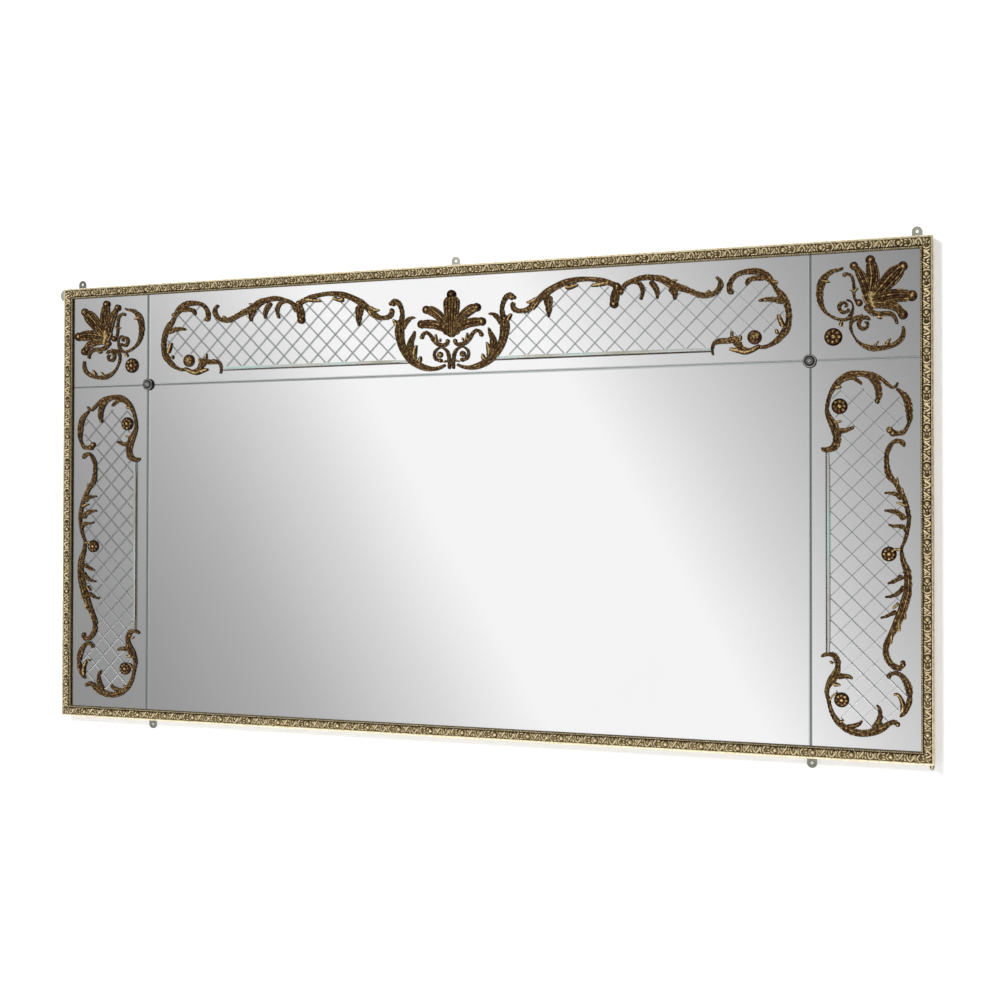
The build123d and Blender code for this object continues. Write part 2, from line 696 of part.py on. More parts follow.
def rosette_cap(x):
    """A turned cap: rounded rim, hollow, and a raised boss with a seat for the screw head."""
    outline = [
        (SHAFT_HOLE_R, CAP_BACK_Y),
        (ROSETTE_R, CAP_BACK_Y),
        (ROSETTE_R, CAP_BACK_Y - 1.4),
        (ROSETTE_R * 0.96, CAP_BACK_Y - 2.6),
        (ROSETTE_R * 0.87, CAP_BACK_Y - 3.4),
        (ROSETTE_R * 0.76, CAP_BACK_Y - 3.4),
        (ROSETTE_R * 0.69, CAP_BACK_Y - 2.6),
        (ROSETTE_R * 0.63, CAP_BACK_Y - 2.6),
        (ROSETTE_R * 0.56, CAP_BACK_Y - 4.6),
        (ROSETTE_R * 0.50, CAP_FRONT_Y),
        (ROSETTE_HEAD_R + BORE_CLEAR, CAP_FRONT_Y),
        (ROSETTE_HEAD_R + BORE_CLEAR, SEAT_Y),
        (SHAFT_HOLE_R, SEAT_Y),
    ]
    return turned_y(outline, x, JOINT_Z)


def rosette_washer(x):
    """A felt washer between the cap and the glass."""
    outline = [
        (SHAFT_HOLE_R, GLASS_Y),
        (WASHER_R, GLASS_Y),
        (WASHER_R, CAP_BACK_Y),
        (SHAFT_HOLE_R, CAP_BACK_Y),
    ]
    return turned_y(outline, x, JOINT_Z)


def rosette_sleeve(x):
    """A sleeve round the screw, where the corners of the panes are notched."""
    radius = NOTCH_R - SLEEVE_CLEAR
    outline = [
        (SHAFT_HOLE_R, PANEL_Y),
        (radius, PANEL_Y),
        (radius, GLASS_Y),
        (SHAFT_HOLE_R, GLASS_Y),
    ]
    return turned_y(outline, x, JOINT_Z)


def rosette_screw(x):
    """A round-headed slotted screw through the cap into the inner stile."""
    top_y = SEAT_Y - ROSETTE_HEAD_H
    outline = [
        (0, top_y),
        (ROSETTE_HEAD_R * 0.45, top_y + 0.25),
        (ROSETTE_HEAD_R * 0.8, top_y + 1.1),
        (ROSETTE_HEAD_R, SEAT_Y - 0.6),
        (ROSETTE_HEAD_R, SEAT_Y),
        (ROSETTE_SCREW_R, SEAT_Y),
        (ROSETTE_SCREW_R, ROSETTE_TIP_Y - 3.0),
        (0, ROSETTE_TIP_Y),
    ]
    body = turned_y(outline, x, JOINT_Z)
    slot = block(
        x - ROSETTE_HEAD_R, x + ROSETTE_HEAD_R, top_y - 1, top_y + 1.4, JOINT_Z - 0.6, JOINT_Z + 0.6
    )
    return cut_all(body, [slot])


for side, x in ROSETTE_PLACES.items():
    save(f"rosette_cap_{side}", rosette_cap(x))
    save(f"rosette_washer_{side}", rosette_washer(x))
    save(f"rosette_sleeve_{side}", rosette_sleeve(x))
    save(f"rosette_screw_{side}", rosette_screw(x))

# Gilded relief: strokes of (x, z, half width) for the right half, mirrored for the left

TOP_STROKES = [
    [(0, 366, 9), (0, 400, 12), (0, 420, 15), (0, 440, 20), (0, 450, 20), (0, 459, 13), (0, 470, 6)],
    [(6, 372, 6), (10, 396, 8), (22, 408, 10), (34, 418, 10), (46, 424, 11), (60, 427, 7)],
    [(8, 374, 6), (12, 386, 7), (24, 392, 8), (38, 395, 9), (54, 397, 9), (74, 396, 8)],
    [(7, 358, 4), (11, 350, 4), (20, 347, 5), (32, 350, 5), (43, 360, 5), (51, 371, 4),
     (60, 377, 4), (68, 373, 4), (71, 367, 4)],
    [(5, 293, 3), (5, 312, 4), (8, 329, 4), (15, 338, 3), (27, 342, 2), (38, 335, 3),
     (41, 326, 3), (36, 316, 4), (26, 313, 4)],
    [(14, 303, 3), (28, 297, 4), (45, 295, 5), (63, 298, 7), (80, 305, 8), (96, 316, 9),
     (109, 331, 9), (119, 348, 9), (124, 366, 10), (126, 384, 11), (126, 400, 7)],
    [(124, 396, 6), (119, 419, 5), (122, 435, 5), (129, 447, 6), (139, 451, 6), (147, 446, 4)],
    [(120, 388, 7), (109, 403, 6), (99, 411, 4), (88, 412, 2)],
    [(88, 316, 6), (93, 328, 9), (99, 342, 8), (98, 357, 7), (92, 370, 5), (88, 382, 2)],
    [(147, 435, 4), (144, 427, 5), (150, 418, 6), (162, 415, 5), (178, 417, 6), (193, 428, 7),
     (208, 442, 7), (223, 453, 8), (243, 464, 7), (264, 472, 7), (287, 476, 6), (308, 477, 5),
     (328, 475, 5), (348, 471, 6), (364, 465, 6), (380, 458, 6)],
    [(224, 446, 11), (226, 428, 9), (227, 411, 6), (226, 402, 3)],
    [(379, 458, 7), (376, 442, 9), (374, 430, 10), (373, 420, 8)],
    [(386, 438, 5), (391, 452, 5), (401, 462, 5), (415, 466, 5), (428, 461, 5), (435, 450, 5),
     (435, 438, 4), (432, 429, 3)],
    [(404, 464, 4), (422, 470, 5), (442, 473, 6), (462, 471, 6), (480, 466, 8), (494, 457, 9),
     (508, 450, 8), (522, 445, 7), (537, 439, 6), (552, 432, 6), (567, 428, 6), (582, 429, 5),
     (593, 435, 5), (601, 445, 6), (601, 456, 5), (595, 463, 3)],
    [(452, 464, 6), (462, 452, 6), (467, 440, 5), (467, 426, 2)],
    [(497, 452, 9), (502, 442, 8), (505, 432, 6), (504, 422, 2)],
    [(629, 431, 3), (622, 433, 6), (620, 443, 6), (623, 454, 5), (632, 465, 5), (644, 471, 5),
     (660, 473, 6), (677, 472, 7), (692, 465, 8), (704, 454, 7), (712, 442, 5), (719, 430, 6),
     (728, 420, 7), (736, 406, 7), (741, 389, 6), (742, 371, 6), (738, 353, 7), (729, 339, 7),
     (717, 327, 6), (704, 319, 4), (691, 315, 4), (678, 316, 3)],
    [(692, 456, 4), (677, 458, 5), (664, 457, 5), (657, 450, 4), (656, 444, 2)],
    [(730, 406, 6), (717, 411, 6), (704, 413, 5), (692, 413, 4), (680, 411, 2)],
    [(586, 302, 2), (584, 314, 3), (588, 326, 4), (601, 331, 6), (616, 331, 6), (629, 333, 8),
     (637, 325, 8), (646, 314, 6), (662, 309, 5), (680, 316, 4)],
]
TOP_DISCS = [(27, 326, 9), (58, 427, 9), (70, 397, 10), (672, 340, 16), (669, 328, 12)]

SIDE_STROKES = [
    [(807, 106, 2), (812, 102, 5), (823, 102, 6), (834, 109, 8), (838, 123, 8), (836, 137, 9),
     (831, 151, 8), (823, 166, 6), (818, 181, 4), (820, 198, 4), (825, 215, 4), (835, 232, 6),
     (849, 245, 7), (865, 252, 8), (882, 254, 6), (898, 251, 7), (911, 241, 8), (918, 226, 7),
     (920, 209, 6), (917, 197, 4)],
    [(894, 256, 3), (911, 251, 4), (925, 242, 4), (937, 231, 4), (946, 224, 3), (953, 227, 3),
     (957, 234, 2)],
    [(954, 222, 3), (968, 209, 6), (975, 196, 7), (978, 179, 7), (979, 161, 6), (976, 148, 4),
     (968, 135, 5), (957, 132, 5), (947, 133, 6)],
    [(850, 241, 3), (867, 246, 4), (880, 239, 4), (887, 232, 2)],
    [(840, 139, 6), (855, 140, 5), (868, 145, 3)],
    [(969, 105, 2), (966, 112, 5), (958, 117, 5), (947, 114, 4), (940, 104, 5), (935, 91, 5),
     (935, 71, 5), (937, 56, 6), (943, 43, 6), (953, 31, 5), (961, 16, 6), (969, 0, 5),
     (974, -18, 5), (977, -36, 5), (976, -53, 4), (973, -69, 4), (969, -83, 3), (963, -99, 3),
     (966, -122, 5), (973, -141, 7), (975, -161, 8), (975, -181, 8), (970, -201, 9),
     (964, -221, 9), (957, -239, 8), (950, -256, 7), (942, -271, 6), (935, -286, 6),
     (932, -301, 6), (935, -317, 6), (944, -330, 6), (957, -336, 6), (966, -329, 4)],
    [(964, 0, 5), (957, 8, 5), (947, 12, 4), (938, 13, 3), (930, 13, 2)],
    [(968, -41, 6), (962, -31, 6), (952, -25, 5), (942, -23, 4), (930, -22, 2)],
    [(973, -66, 4), (968, -56, 5), (957, -53, 4), (947, -53, 3), (938, -50, 2)],
    [(965, -152, 6), (957, -159, 4), (947, -164, 4), (936, -168, 2)],
    [(968, -173, 6), (960, -183, 5), (950, -191, 4), (940, -194, 3), (931, -195, 2)],
    [(953, -223, 5), (942, -229, 4), (932, -234, 3), (922, -237, 2)],
    [(936, -357, 5), (941, -350, 4), (950, -346, 4), (961, -350, 5), (970, -361, 6),
     (976, -376, 7), (978, -393, 5), (975, -409, 6), (968, -423, 5), (959, -433, 2)],
    [(806, -319, 2), (811, -315, 4), (821, -313, 4), (831, -315, 6), (838, -327, 6),
     (838, -341, 6), (833, -355, 8), (825, -367, 8), (818, -381, 5), (817, -393, 4),
     (820, -405, 4), (823, -419, 4), (829, -435, 5), (841, -451, 6), (858, -463, 7),
     (878, -469, 7), (898, -468, 7), (915, -462, 8), (928, -455, 7), (939, -447, 5),
     (948, -444, 5), (955, -448, 4)],
    [(838, -358, 6), (851, -356, 5), (861, -357, 4), (868, -361, 2)],
    [(853, -459, 5), (868, -456, 5), (880, -451, 4), (886, -444, 2)],
    [(908, -459, 6), (917, -446, 6), (921, -433, 5), (920, -419, 3), (914, -411, 2)],
]
SIDE_DISCS = [(843, 189, 17), (941, 139, 8), (939, -109, 15), (846, -404, 16), (965, -325, 5)]

CORNER_STROKES = [
    [(851, 470, 2), (844, 466, 3), (831, 464, 4), (818, 456, 6), (808, 441, 7), (804, 421, 7),
     (806, 401, 6), (813, 385, 4), (823, 375, 3), (837, 367, 3), (849, 364, 3), (860, 366, 4),
     (867, 376, 4), (870, 389, 2), (866, 400, 2), (857, 404, 2)],
    [(852, 457, 3), (861, 456, 3), (868, 450, 3), (871, 439, 3), (872, 426, 3), (872, 413, 3),
     (875, 403, 3), (882, 397, 6)],
    [(897, 412, 6), (895, 426, 7), (890, 441, 7), (883, 456, 6), (877, 466, 5), (872, 472, 6)],
    [(903, 410, 8), (907, 431, 11), (909, 451, 12), (907, 469, 12), (904, 486, 7)],
    [(908, 405, 9), (927, 426, 9), (947, 448, 14), (959, 459, 14), (968, 467, 8)],
    [(910, 402, 10), (937, 407, 12), (957, 408, 12), (972, 407, 12), (984, 406, 8)],
    [(911, 395, 6), (932, 392, 6), (950, 387, 6), (960, 380, 6), (967, 370, 6)],
    [(899, 386, 6), (906, 377, 6), (918, 373, 5), (933, 373, 5), (945, 371, 5), (952, 363, 4),
     (955, 354, 3)],
    [(865, 350, 3), (867, 359, 4), (875, 366, 5), (887, 370, 3)],
    [(865, 353, 3), (866, 343, 3), (871, 331, 2), (880, 318, 3), (893, 309, 5), (908, 304, 6),
     (925, 304, 5), (941, 307, 5), (955, 313, 5), (965, 323, 5), (968, 336, 4), (967, 346, 2)],
]
CORNER_DISCS = [(852, 390, 9), (892, 355, 13), (831, 330, 18), (872, 472, 7)]

# Straight bands that close the cartouches, along the top pane and down each side pane
TOP_BAND = (103, 579, 312.5)
SIDE_BAND = (819, -312, 95)


def smooth(points, steps):
    """A rounder run of points through the given ones."""
    ends = [points[0]] + points + [points[-1]]
    run = []
    for a, b, c, d in zip(ends, ends[1:], ends[2:], ends[3:]):
        for k in range(steps):
            t = k / steps
            run.append(tuple(
                0.5 * (2 * q + (r - p) * t + (2 * p - 5 * q + 4 * r - s) * t * t
                       + (3 * q - p - 3 * r + s) * t ** 3)
                for p, q, r, s in zip(a, b, c, d)
            ))
    return run + [points[-1]]


def stroke_face(points, place, side):
    """The outline of a stroke that swells and narrows, as a face in the XZ plane."""
    run = smooth(points, STROKE_STEPS)
    left, right = [], []
    for i, (x, z, half) in enumerate(run):
        xa, za, _ = run[max(i - 1, 0)]
        xb, zb, _ = run[min(i + 1, len(run) - 1)]
        length = math.hypot(xb - xa, zb - za)
        nx, nz = -(zb - za) / length, (xb - xa) / length
        for row, way in ((left, 1), (right, -1)):
            px, pz = place(x + way * nx * half, z + way * nz * half)
            row.append((side * px, pz))
    outline = left + right[::-1]
    return make_face(Polyline(*outline, close=True)).face()


def disc_face(x, z, radius, place, side):
    """A round boss as a many-sided face."""
    corners = []
    for k in range(20):
        angle = 2 * math.pi * k / 20
        px, pz = place(x + radius * math.cos(angle), z + radius * math.sin(angle))
        corners.append((side * px, pz))
    return make_face(Polyline(*corners, close=True)).face()


def relief(faces):
    """Join the faces drawn in (x, z) and raise them from the glass as separate solids."""
    joined = faces[0].fuse(*faces[1:])
    solids = []
    for face in joined.faces():
        raised = extrude(face, RELIEF_T, dir=(0, 0, 1))
        # Stand the drawing up: its second axis becomes Z and its thickness points to -Y.
        stood = Pos(0, GLASS_Y, 0) * Rot(90, 0, 0) * raised
        solids += list(stood.solids())
    return solids


def drawing(strokes, discs, place, side):
    """All the faces of one half of an ornament."""
    faces = [stroke_face(points, place, side) for points in strokes]
    return faces + [disc_face(x, z, radius, place, side) for x, z, radius in discs]


def band_face(x0, x1, z0, z1, place, side):
    """A straight band between two drawn corners."""
    corners = [place(x0, z0), place(x1, z0), place(x1, z1), place(x0, z1)]
    return make_face(Polyline(*[(side * x, z) for x, z in corners], close=True)).face()


top_faces = []
for side in (1, -1):
    top_faces += drawing(TOP_STROKES, TOP_DISCS, on_top, side)
    x0, x1, z = TOP_BAND
    top_faces.append(band_face(x0, x1, z - BAND_W / 2, z + BAND_W / 2, on_top, side))
save("gilding_top", relief(top_faces))

for name, side in (("left", -1), ("right", 1)):
    side_faces = drawing(SIDE_STROKES, SIDE_DISCS, on_side, side)
    x, z0, z1 = SIDE_BAND
    side_faces.append(band_face(x - BAND_W / 2, x + BAND_W / 2, z0, z1, on_side, side))
    save(f"gilding_side_{name}", relief(side_faces))
    save(f"gilding_corner_{name}", relief(drawing(CORNER_STROKES, CORNER_DISCS, on_corner, side)))
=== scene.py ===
# %% [markdown]
# A bistro mirror: six bevelled panes of silvered glass in a narrow pressed-brass frame, with gilded
# scrollwork and a wheel-cut trellis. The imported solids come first, as a fixed frame in metres, with
# the back of the mirror on y = 0 and its face towards -Y. Every new piece is placed by them.

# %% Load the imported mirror
import math

import bmesh
import bpy
from mathutils import Euler, Matrix, Vector


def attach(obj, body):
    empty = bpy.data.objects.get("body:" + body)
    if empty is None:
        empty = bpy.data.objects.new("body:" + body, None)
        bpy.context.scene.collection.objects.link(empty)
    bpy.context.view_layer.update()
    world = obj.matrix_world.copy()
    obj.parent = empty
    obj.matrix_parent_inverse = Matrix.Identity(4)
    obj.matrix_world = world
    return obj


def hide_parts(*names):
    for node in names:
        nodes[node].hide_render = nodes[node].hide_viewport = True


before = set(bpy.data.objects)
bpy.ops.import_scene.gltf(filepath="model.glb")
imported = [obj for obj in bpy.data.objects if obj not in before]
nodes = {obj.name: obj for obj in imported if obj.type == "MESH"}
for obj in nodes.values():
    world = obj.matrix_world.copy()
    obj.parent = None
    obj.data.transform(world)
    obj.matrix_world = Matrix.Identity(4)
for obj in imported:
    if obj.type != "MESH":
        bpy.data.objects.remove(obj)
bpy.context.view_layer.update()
scene = bpy.context.scene
scene.view_settings.view_transform = "Standard"
print("solids loaded:", len(nodes))

# The frame's half width and half height, and the face of the glass, in millimetres
MM = 0.001
HALF_W = 1025.0
HALF_H = 525.0
GLASS_Y = -29.5

# %% [markdown]
# The photograph was taken standing near the right-hand end and looking left, so the left edge looks
# shorter. The camera was fitted to the frame's four corners and the two rosettes, and 2 to 3 pixels
# of error are left over. Its lens stays unshifted.

# %% Camera
camera_data = bpy.data.cameras.new("camera")
camera_data.lens = 50.415
camera_data.sensor_width = 36.0
camera = bpy.data.objects.new("camera", camera_data)
camera.location = (1.1278, -2.9142, -0.0355)
turned_left = 0.33949
tilted_up = 0.01381
camera.rotation_euler = Euler((math.pi / 2 + tilted_up, -0.00132, turned_left), "XYZ")
scene.collection.objects.link(camera)
scene.camera = camera
print("camera lens:", camera_data.lens)

# %% [markdown]
# Small helpers. A node tree is easier to read when each node is added in one line and wired by name.


# %% Helpers for node trees
def new_material(name):
    """An empty node material with its output node."""
    material = bpy.data.materials.new(name)
    material.use_nodes = True
    material.node_tree.nodes.clear()
    out = material.node_tree.nodes.new("ShaderNodeOutputMaterial")
    return material, material.node_tree, out


def ramp(tree, factor, stops, smooth="LINEAR"):
    """A colour ramp through the given stops of (place, colour)."""
    node = tree.nodes.new("ShaderNodeValToRGB")
    node.color_ramp.interpolation = smooth
    elements = node.color_ramp.elements
    while len(elements) < len(stops):
        elements.new(0.5)
    for element, (place, colour) in zip(elements, stops):
        element.position = place
        element.color = (*colour, 1.0)
    tree.links.new(factor, node.inputs["Fac"])
    return node.outputs["Color"]


def math_node(tree, operation, a, b=None, clamp=False):
    """A math node whose inputs are sockets or numbers."""
    node = tree.nodes.new("ShaderNodeMath")
    node.operation = operation
    node.use_clamp = clamp
    for socket, value in zip(node.inputs, (a, b)):
        if value is None:
            continue
        if isinstance(value, (int, float)):
            socket.default_value = value
        else:
            tree.links.new(value, socket)
    return node.outputs[0]


def grey(value):
    """The same value in all three channels."""
    return (value, value, value)


# %% [markdown]
# The studio. The wall behind the mirror and the floor show white to the camera, to glass and to
# metal, and they keep a soft shadow. The wall lets light through from behind, so that the back of
# the mirror can be looked at too. The world gives the even part of the light.

# %% World
world = bpy.data.worlds.new("studio")
scene.world = world
world.use_nodes = True
tree = world.node_tree
tree.nodes.clear()
world_out = tree.nodes.new("ShaderNodeOutputWorld")
path = tree.nodes.new("ShaderNodeLightPath")
seen = math_node(tree, "MAXIMUM", path.outputs["Is Camera Ray"], path.outputs["Is Glossy Ray"])
seen = math_node(tree, "MAXIMUM", seen, path.outputs["Is Transmission Ray"])
white_world = tree.nodes.new("ShaderNodeBackground")
white_world.inputs["Color"].default_value = (1, 1, 1, 1)
white_world.inputs["Strength"].default_value = 1.0
even_light = tree.nodes.new("ShaderNodeBackground")
even_light.inputs["Color"].default_value = (1, 1, 1, 1)
even_light.inputs["Strength"].default_value = 0.45
pick = tree.nodes.new("ShaderNodeMixShader")
tree.links.new(seen, pick.inputs[0])
tree.links.new(even_light.outputs[0], pick.inputs[1])
tree.links.new(white_world.outputs[0], pick.inputs[2])
tree.links.new(pick.outputs[0], world_out.inputs["Surface"])


# %% Wall and floor
def backdrop_material(name, emission, one_sided):
    """White to the camera, matt under the lamps so that it takes a shadow."""
    material, tree, out = new_material(name)
    path = tree.nodes.new("ShaderNodeLightPath")
    matt = tree.nodes.new("ShaderNodeBsdfDiffuse")
    matt.inputs["Color"].default_value = (0.8, 0.8, 0.8, 1)
    glow = tree.nodes.new("ShaderNodeEmission")
    glow.inputs["Strength"].default_value = emission
    seen = math_node(tree, "MAXIMUM", path.outputs["Is Camera Ray"], path.outputs["Is Glossy Ray"])
    seen = math_node(tree, "MAXIMUM", seen, path.outputs["Is Transmission Ray"])
    both = tree.nodes.new("ShaderNodeAddShader")
    tree.links.new(matt.outputs[0], both.inputs[0])
    tree.links.new(glow.outputs[0], both.inputs[1])
    plain_or_white = tree.nodes.new("ShaderNodeMixShader")
    tree.links.new(seen, plain_or_white.inputs[0])
    tree.links.new(matt.outputs[0], plain_or_white.inputs[1])
    tree.links.new(both.outputs[0], plain_or_white.inputs[2])
    if not one_sided:
        tree.links.new(plain_or_white.outputs[0], out.inputs["Surface"])
        return material
    clear = tree.nodes.new("ShaderNodeBsdfTransparent")
    side = tree.nodes.new("ShaderNodeNewGeometry")
    front = math_node(tree, "SUBTRACT", 1.0, side.outputs["Backfacing"])
    solid = math_node(tree, "MULTIPLY", seen, front)
    mix = tree.nodes.new("ShaderNodeMixShader")
    tree.links.new(solid, mix.inputs[0])
    tree.links.new(clear.outputs[0], mix.inputs[1])
    tree.links.new(plain_or_white.outputs[0], mix.inputs[2])
    tree.links.new(mix.outputs[0], out.inputs["Surface"])
    return material


def flat_sheet(name, size_x, size_y, matrix, material):
    """A flat grid, placed in its mesh."""
    bm = bmesh.new()
    bmesh.ops.create_grid(bm, x_segments=2, y_segments=2, size=0.5)
    bmesh.ops.scale(bm, vec=(size_x, size_y, 1), verts=bm.verts)
    bmesh.ops.transform(bm, matrix=matrix, verts=bm.verts)
    mesh = bpy.data.meshes.new(name)
    bm.to_mesh(mesh)
    bm.free()
    mesh.materials.append(material)
    sheet = bpy.data.objects.new(name, mesh)
    scene.collection.objects.link(sheet)
    return sheet


FLOOR_Z = -1.4
stand_up = Matrix.Rotation(math.pi / 2, 4, "X")
wall = flat_sheet(
    "wall", 9.0, 5.0, Matrix.Translation((0, 0.001, FLOOR_Z + 2.5)) @ stand_up,
    backdrop_material("wall_white", 0.35, True),
)
floor = flat_sheet(
    "floor", 18.0, 18.0, Matrix.Translation((0, 0, FLOOR_Z)),
    backdrop_material("floor_pale", 0.35, False),
)
print("wall and floor made")

# %% [markdown]
# A mirror shows the room. The photograph's mirror shows one pale slanting band between greys, so a
# large card stands opposite, behind the camera. Only glossy and transmitted rays meet it. Its tone
# changes along one slanting line, and it brightens overhead. The greys along that line were set to
# follow tones measured in the photograph.

# %% The card that the mirror reflects
CARD_Y = -4.0
SLANT = 0.58
BAND_START = 6.0
BAND_LENGTH = 10.0
card_material, tree, card_out = new_material("room_tones")
coords = tree.nodes.new("ShaderNodeTexCoord")
split = tree.nodes.new("ShaderNodeSeparateXYZ")
tree.links.new(coords.outputs["Object"], split.inputs[0])
slanted = math_node(tree, "MULTIPLY", split.outputs["Z"], SLANT)
slanted = math_node(tree, "ADD", split.outputs["X"], slanted)
slanted = math_node(tree, "ADD", slanted, BAND_START)
along = math_node(tree, "DIVIDE", slanted, BAND_LENGTH, clamp=True)
band = ramp(tree, along, [
    (0.00, grey(0.22)), (0.20, grey(0.33)), (0.30, grey(0.48)), (0.38, grey(0.78)),
    (0.44, grey(1.04)), (0.49, grey(1.18)), (0.54, grey(1.06)), (0.60, grey(0.74)),
    (0.68, grey(0.44)), (0.78, grey(0.22)), (1.00, grey(0.16)),
], "B_SPLINE")
overhead = math_node(tree, "SUBTRACT", split.outputs["Z"], 1.5)
overhead = math_node(tree, "MULTIPLY", overhead, 0.8, clamp=True)
lift = tree.nodes.new("ShaderNodeMix")
lift.data_type = "RGBA"
tree.links.new(overhead, lift.inputs["Factor"])
tree.links.new(band, lift.inputs["A"])
lift.inputs["B"].default_value = (0.95, 0.95, 0.95, 1)
glow = tree.nodes.new("ShaderNodeEmission")
tree.links.new(lift.outputs["Result"], glow.inputs["Color"])
tree.links.new(glow.outputs[0], card_out.inputs["Surface"])
card = flat_sheet("card", 16.0, 8.0, Matrix.Translation((-1.0, CARD_Y, 2.6)) @ stand_up, card_material)
card.visible_camera = False
card.visible_diffuse = False
card.visible_shadow = False


# %% Lamps
def lamp(name, place, aim, size, power):
    """A square softbox that shines on the object and isn't seen in the glass."""
    data = bpy.data.lights.new(name, "AREA")
    data.size = size
    data.energy = power
    light = bpy.data.objects.new(name, data)
    light.location = place
    light.rotation_euler = (Vector(aim) - Vector(place)).to_track_quat("-Z", "Y").to_euler()
    light.visible_glossy = False
    light.visible_transmission = False
    scene.collection.objects.link(light)
    return light


lamp("key_softbox", (-1.2, -3.9, 1.9), (0.1, 0, 0), 1.1, 210)
lamp("back_softbox", (2.0, 3.5, 2.5), (0, 0, 0), 2.0, 160)
print("lamps:", len(bpy.data.lights))

# %% [markdown]
# Finishes. Old brass keeps a dark patina where hands and cloths don't reach; here its hollows are
# also darkened as painted shade and its high places brightened as painted highlights. A value named
# ridge is stored on the vertices of each embossed shape: 1 on its ridges, 0 in its hollows, and it
# carries that painted shade and those painted highlights. One node group blends that with uneven
# wear and puts out a mask for every metal.


# %% Node group: uneven wear and painted sheen
def wear_and_sheen_group():
    """The ridge value, which carries painted highlights and painted shade, made uneven by noise, and
    that noise by itself.
    """
    group = bpy.data.node_groups.new("uneven_wear_and_sheen", "ShaderNodeTree")
    face = group.interface
    face.new_socket("Ridge", in_out="INPUT", socket_type="NodeSocketFloat")
    face.new_socket("Scale", in_out="INPUT", socket_type="NodeSocketFloat")
    face.new_socket("Amount", in_out="INPUT", socket_type="NodeSocketFloat")
    face.new_socket("Mask", in_out="OUTPUT", socket_type="NodeSocketFloat")
    face.new_socket("Blotch", in_out="OUTPUT", socket_type="NodeSocketFloat")
    start = group.nodes.new("NodeGroupInput")
    end = group.nodes.new("NodeGroupOutput")
    coords = group.nodes.new("ShaderNodeTexCoord")
    noise = group.nodes.new("ShaderNodeTexNoise")
    noise.inputs["Detail"].default_value = 5.0
    group.links.new(coords.outputs["Object"], noise.inputs["Vector"])
    group.links.new(start.outputs["Scale"], noise.inputs["Scale"])
    centred = math_node(group, "SUBTRACT", noise.outputs["Fac"], 0.5)
    uneven = math_node(group, "MULTIPLY", centred, start.outputs["Amount"])
    mask = math_node(group, "ADD", start.outputs["Ridge"], uneven, clamp=True)
    group.links.new(mask, end.inputs["Mask"])
    group.links.new(noise.outputs["Fac"], end.inputs["Blotch"])
    return group


def grain_group():
    """Lengthwise wood grain as one value, with fine pores."""
    group = bpy.data.node_groups.new("wood_grain", "ShaderNodeTree")
    face = group.interface
    face.new_socket("Vector", in_out="INPUT", socket_type="NodeSocketVector")
    face.new_socket("Value", in_out="OUTPUT", socket_type="NodeSocketFloat")
    face.new_socket("Pores", in_out="OUTPUT", socket_type="NodeSocketFloat")
    start = group.nodes.new("NodeGroupInput")
    end = group.nodes.new("NodeGroupOutput")
    broad = group.nodes.new("ShaderNodeTexNoise")
    broad.inputs["Scale"].default_value = 110.0
    broad.inputs["Detail"].default_value = 8.0
    broad.inputs["Distortion"].default_value = 0.5
    fine = group.nodes.new("ShaderNodeTexNoise")
    fine.inputs["Scale"].default_value = 700.0
    for noise in (broad, fine):
        group.links.new(start.outputs["Vector"], noise.inputs["Vector"])
    group.links.new(broad.outputs["Fac"], end.inputs["Value"])
    group.links.new(fine.outputs["Fac"], end.inputs["Pores"])
    return group


WEAR_AND_SHEEN = wear_and_sheen_group()
GRAIN = grain_group()


# %% Metals
RINGS_BACK = 0.030
RINGS_DEPTH = 0.008


def metal(name, stops, roughness, scale, amount, ridge=None):
    """A metal whose colour runs from its hollows to its ridges: patina and painted shade in the hollows,
    painted highlights on the ridges.

    The ridge is the stored value, one number all over, or "depth" for a rosette's turned rings.
    """
    material, tree, out = new_material(name)
    wear_and_sheen = tree.nodes.new("ShaderNodeGroup")
    wear_and_sheen.node_tree = WEAR_AND_SHEEN
    wear_and_sheen.inputs["Scale"].default_value = scale
    wear_and_sheen.inputs["Amount"].default_value = amount
    if ridge is None:
        attribute = tree.nodes.new("ShaderNodeAttribute")
        attribute.attribute_name = "ridge"
        tree.links.new(attribute.outputs["Fac"], wear_and_sheen.inputs["Ridge"])
    elif ridge == "depth":
        # Painted highlights on the rim and the inner ring, painted shade between them, by how far each
        # stands forward
        coords = tree.nodes.new("ShaderNodeTexCoord")
        split = tree.nodes.new("ShaderNodeSeparateXYZ")
        tree.links.new(coords.outputs["Object"], split.inputs[0])
        deep = math_node(tree, "MULTIPLY", split.outputs["Y"], -1 / RINGS_DEPTH)
        deep = math_node(tree, "ADD", deep, -RINGS_BACK / RINGS_DEPTH)
        rings = ramp(tree, deep, [
            (0.30, grey(0.25)), (0.44, grey(0.10)), (0.475, grey(1.0)), (0.52, grey(0.2)),
            (0.74, grey(0.15)), (0.85, grey(1.0)), (0.90, grey(0.45)), (1.0, grey(0.8)),
        ])
        tree.links.new(rings, wear_and_sheen.inputs["Ridge"])
    else:
        wear_and_sheen.inputs["Ridge"].default_value = ridge
    shader = tree.nodes.new("ShaderNodeBsdfPrincipled")
    shader.inputs["Metallic"].default_value = 1.0
    tree.links.new(ramp(tree, wear_and_sheen.outputs["Mask"], stops), shader.inputs["Base Color"])
    low, high = roughness
    rough = math_node(tree, "MULTIPLY", wear_and_sheen.outputs["Blotch"], high - low)
    tree.links.new(math_node(tree, "ADD", rough, low), shader.inputs["Roughness"])
    relief = tree.nodes.new("ShaderNodeBump")
    relief.inputs["Distance"].default_value = 0.0004
    relief.inputs["Strength"].default_value = 0.5
    tree.links.new(wear_and_sheen.outputs["Blotch"], relief.inputs["Height"])
    tree.links.new(relief.outputs[0], shader.inputs["Normal"])
    tree.links.new(shader.outputs[0], out.inputs["Surface"])
    return material
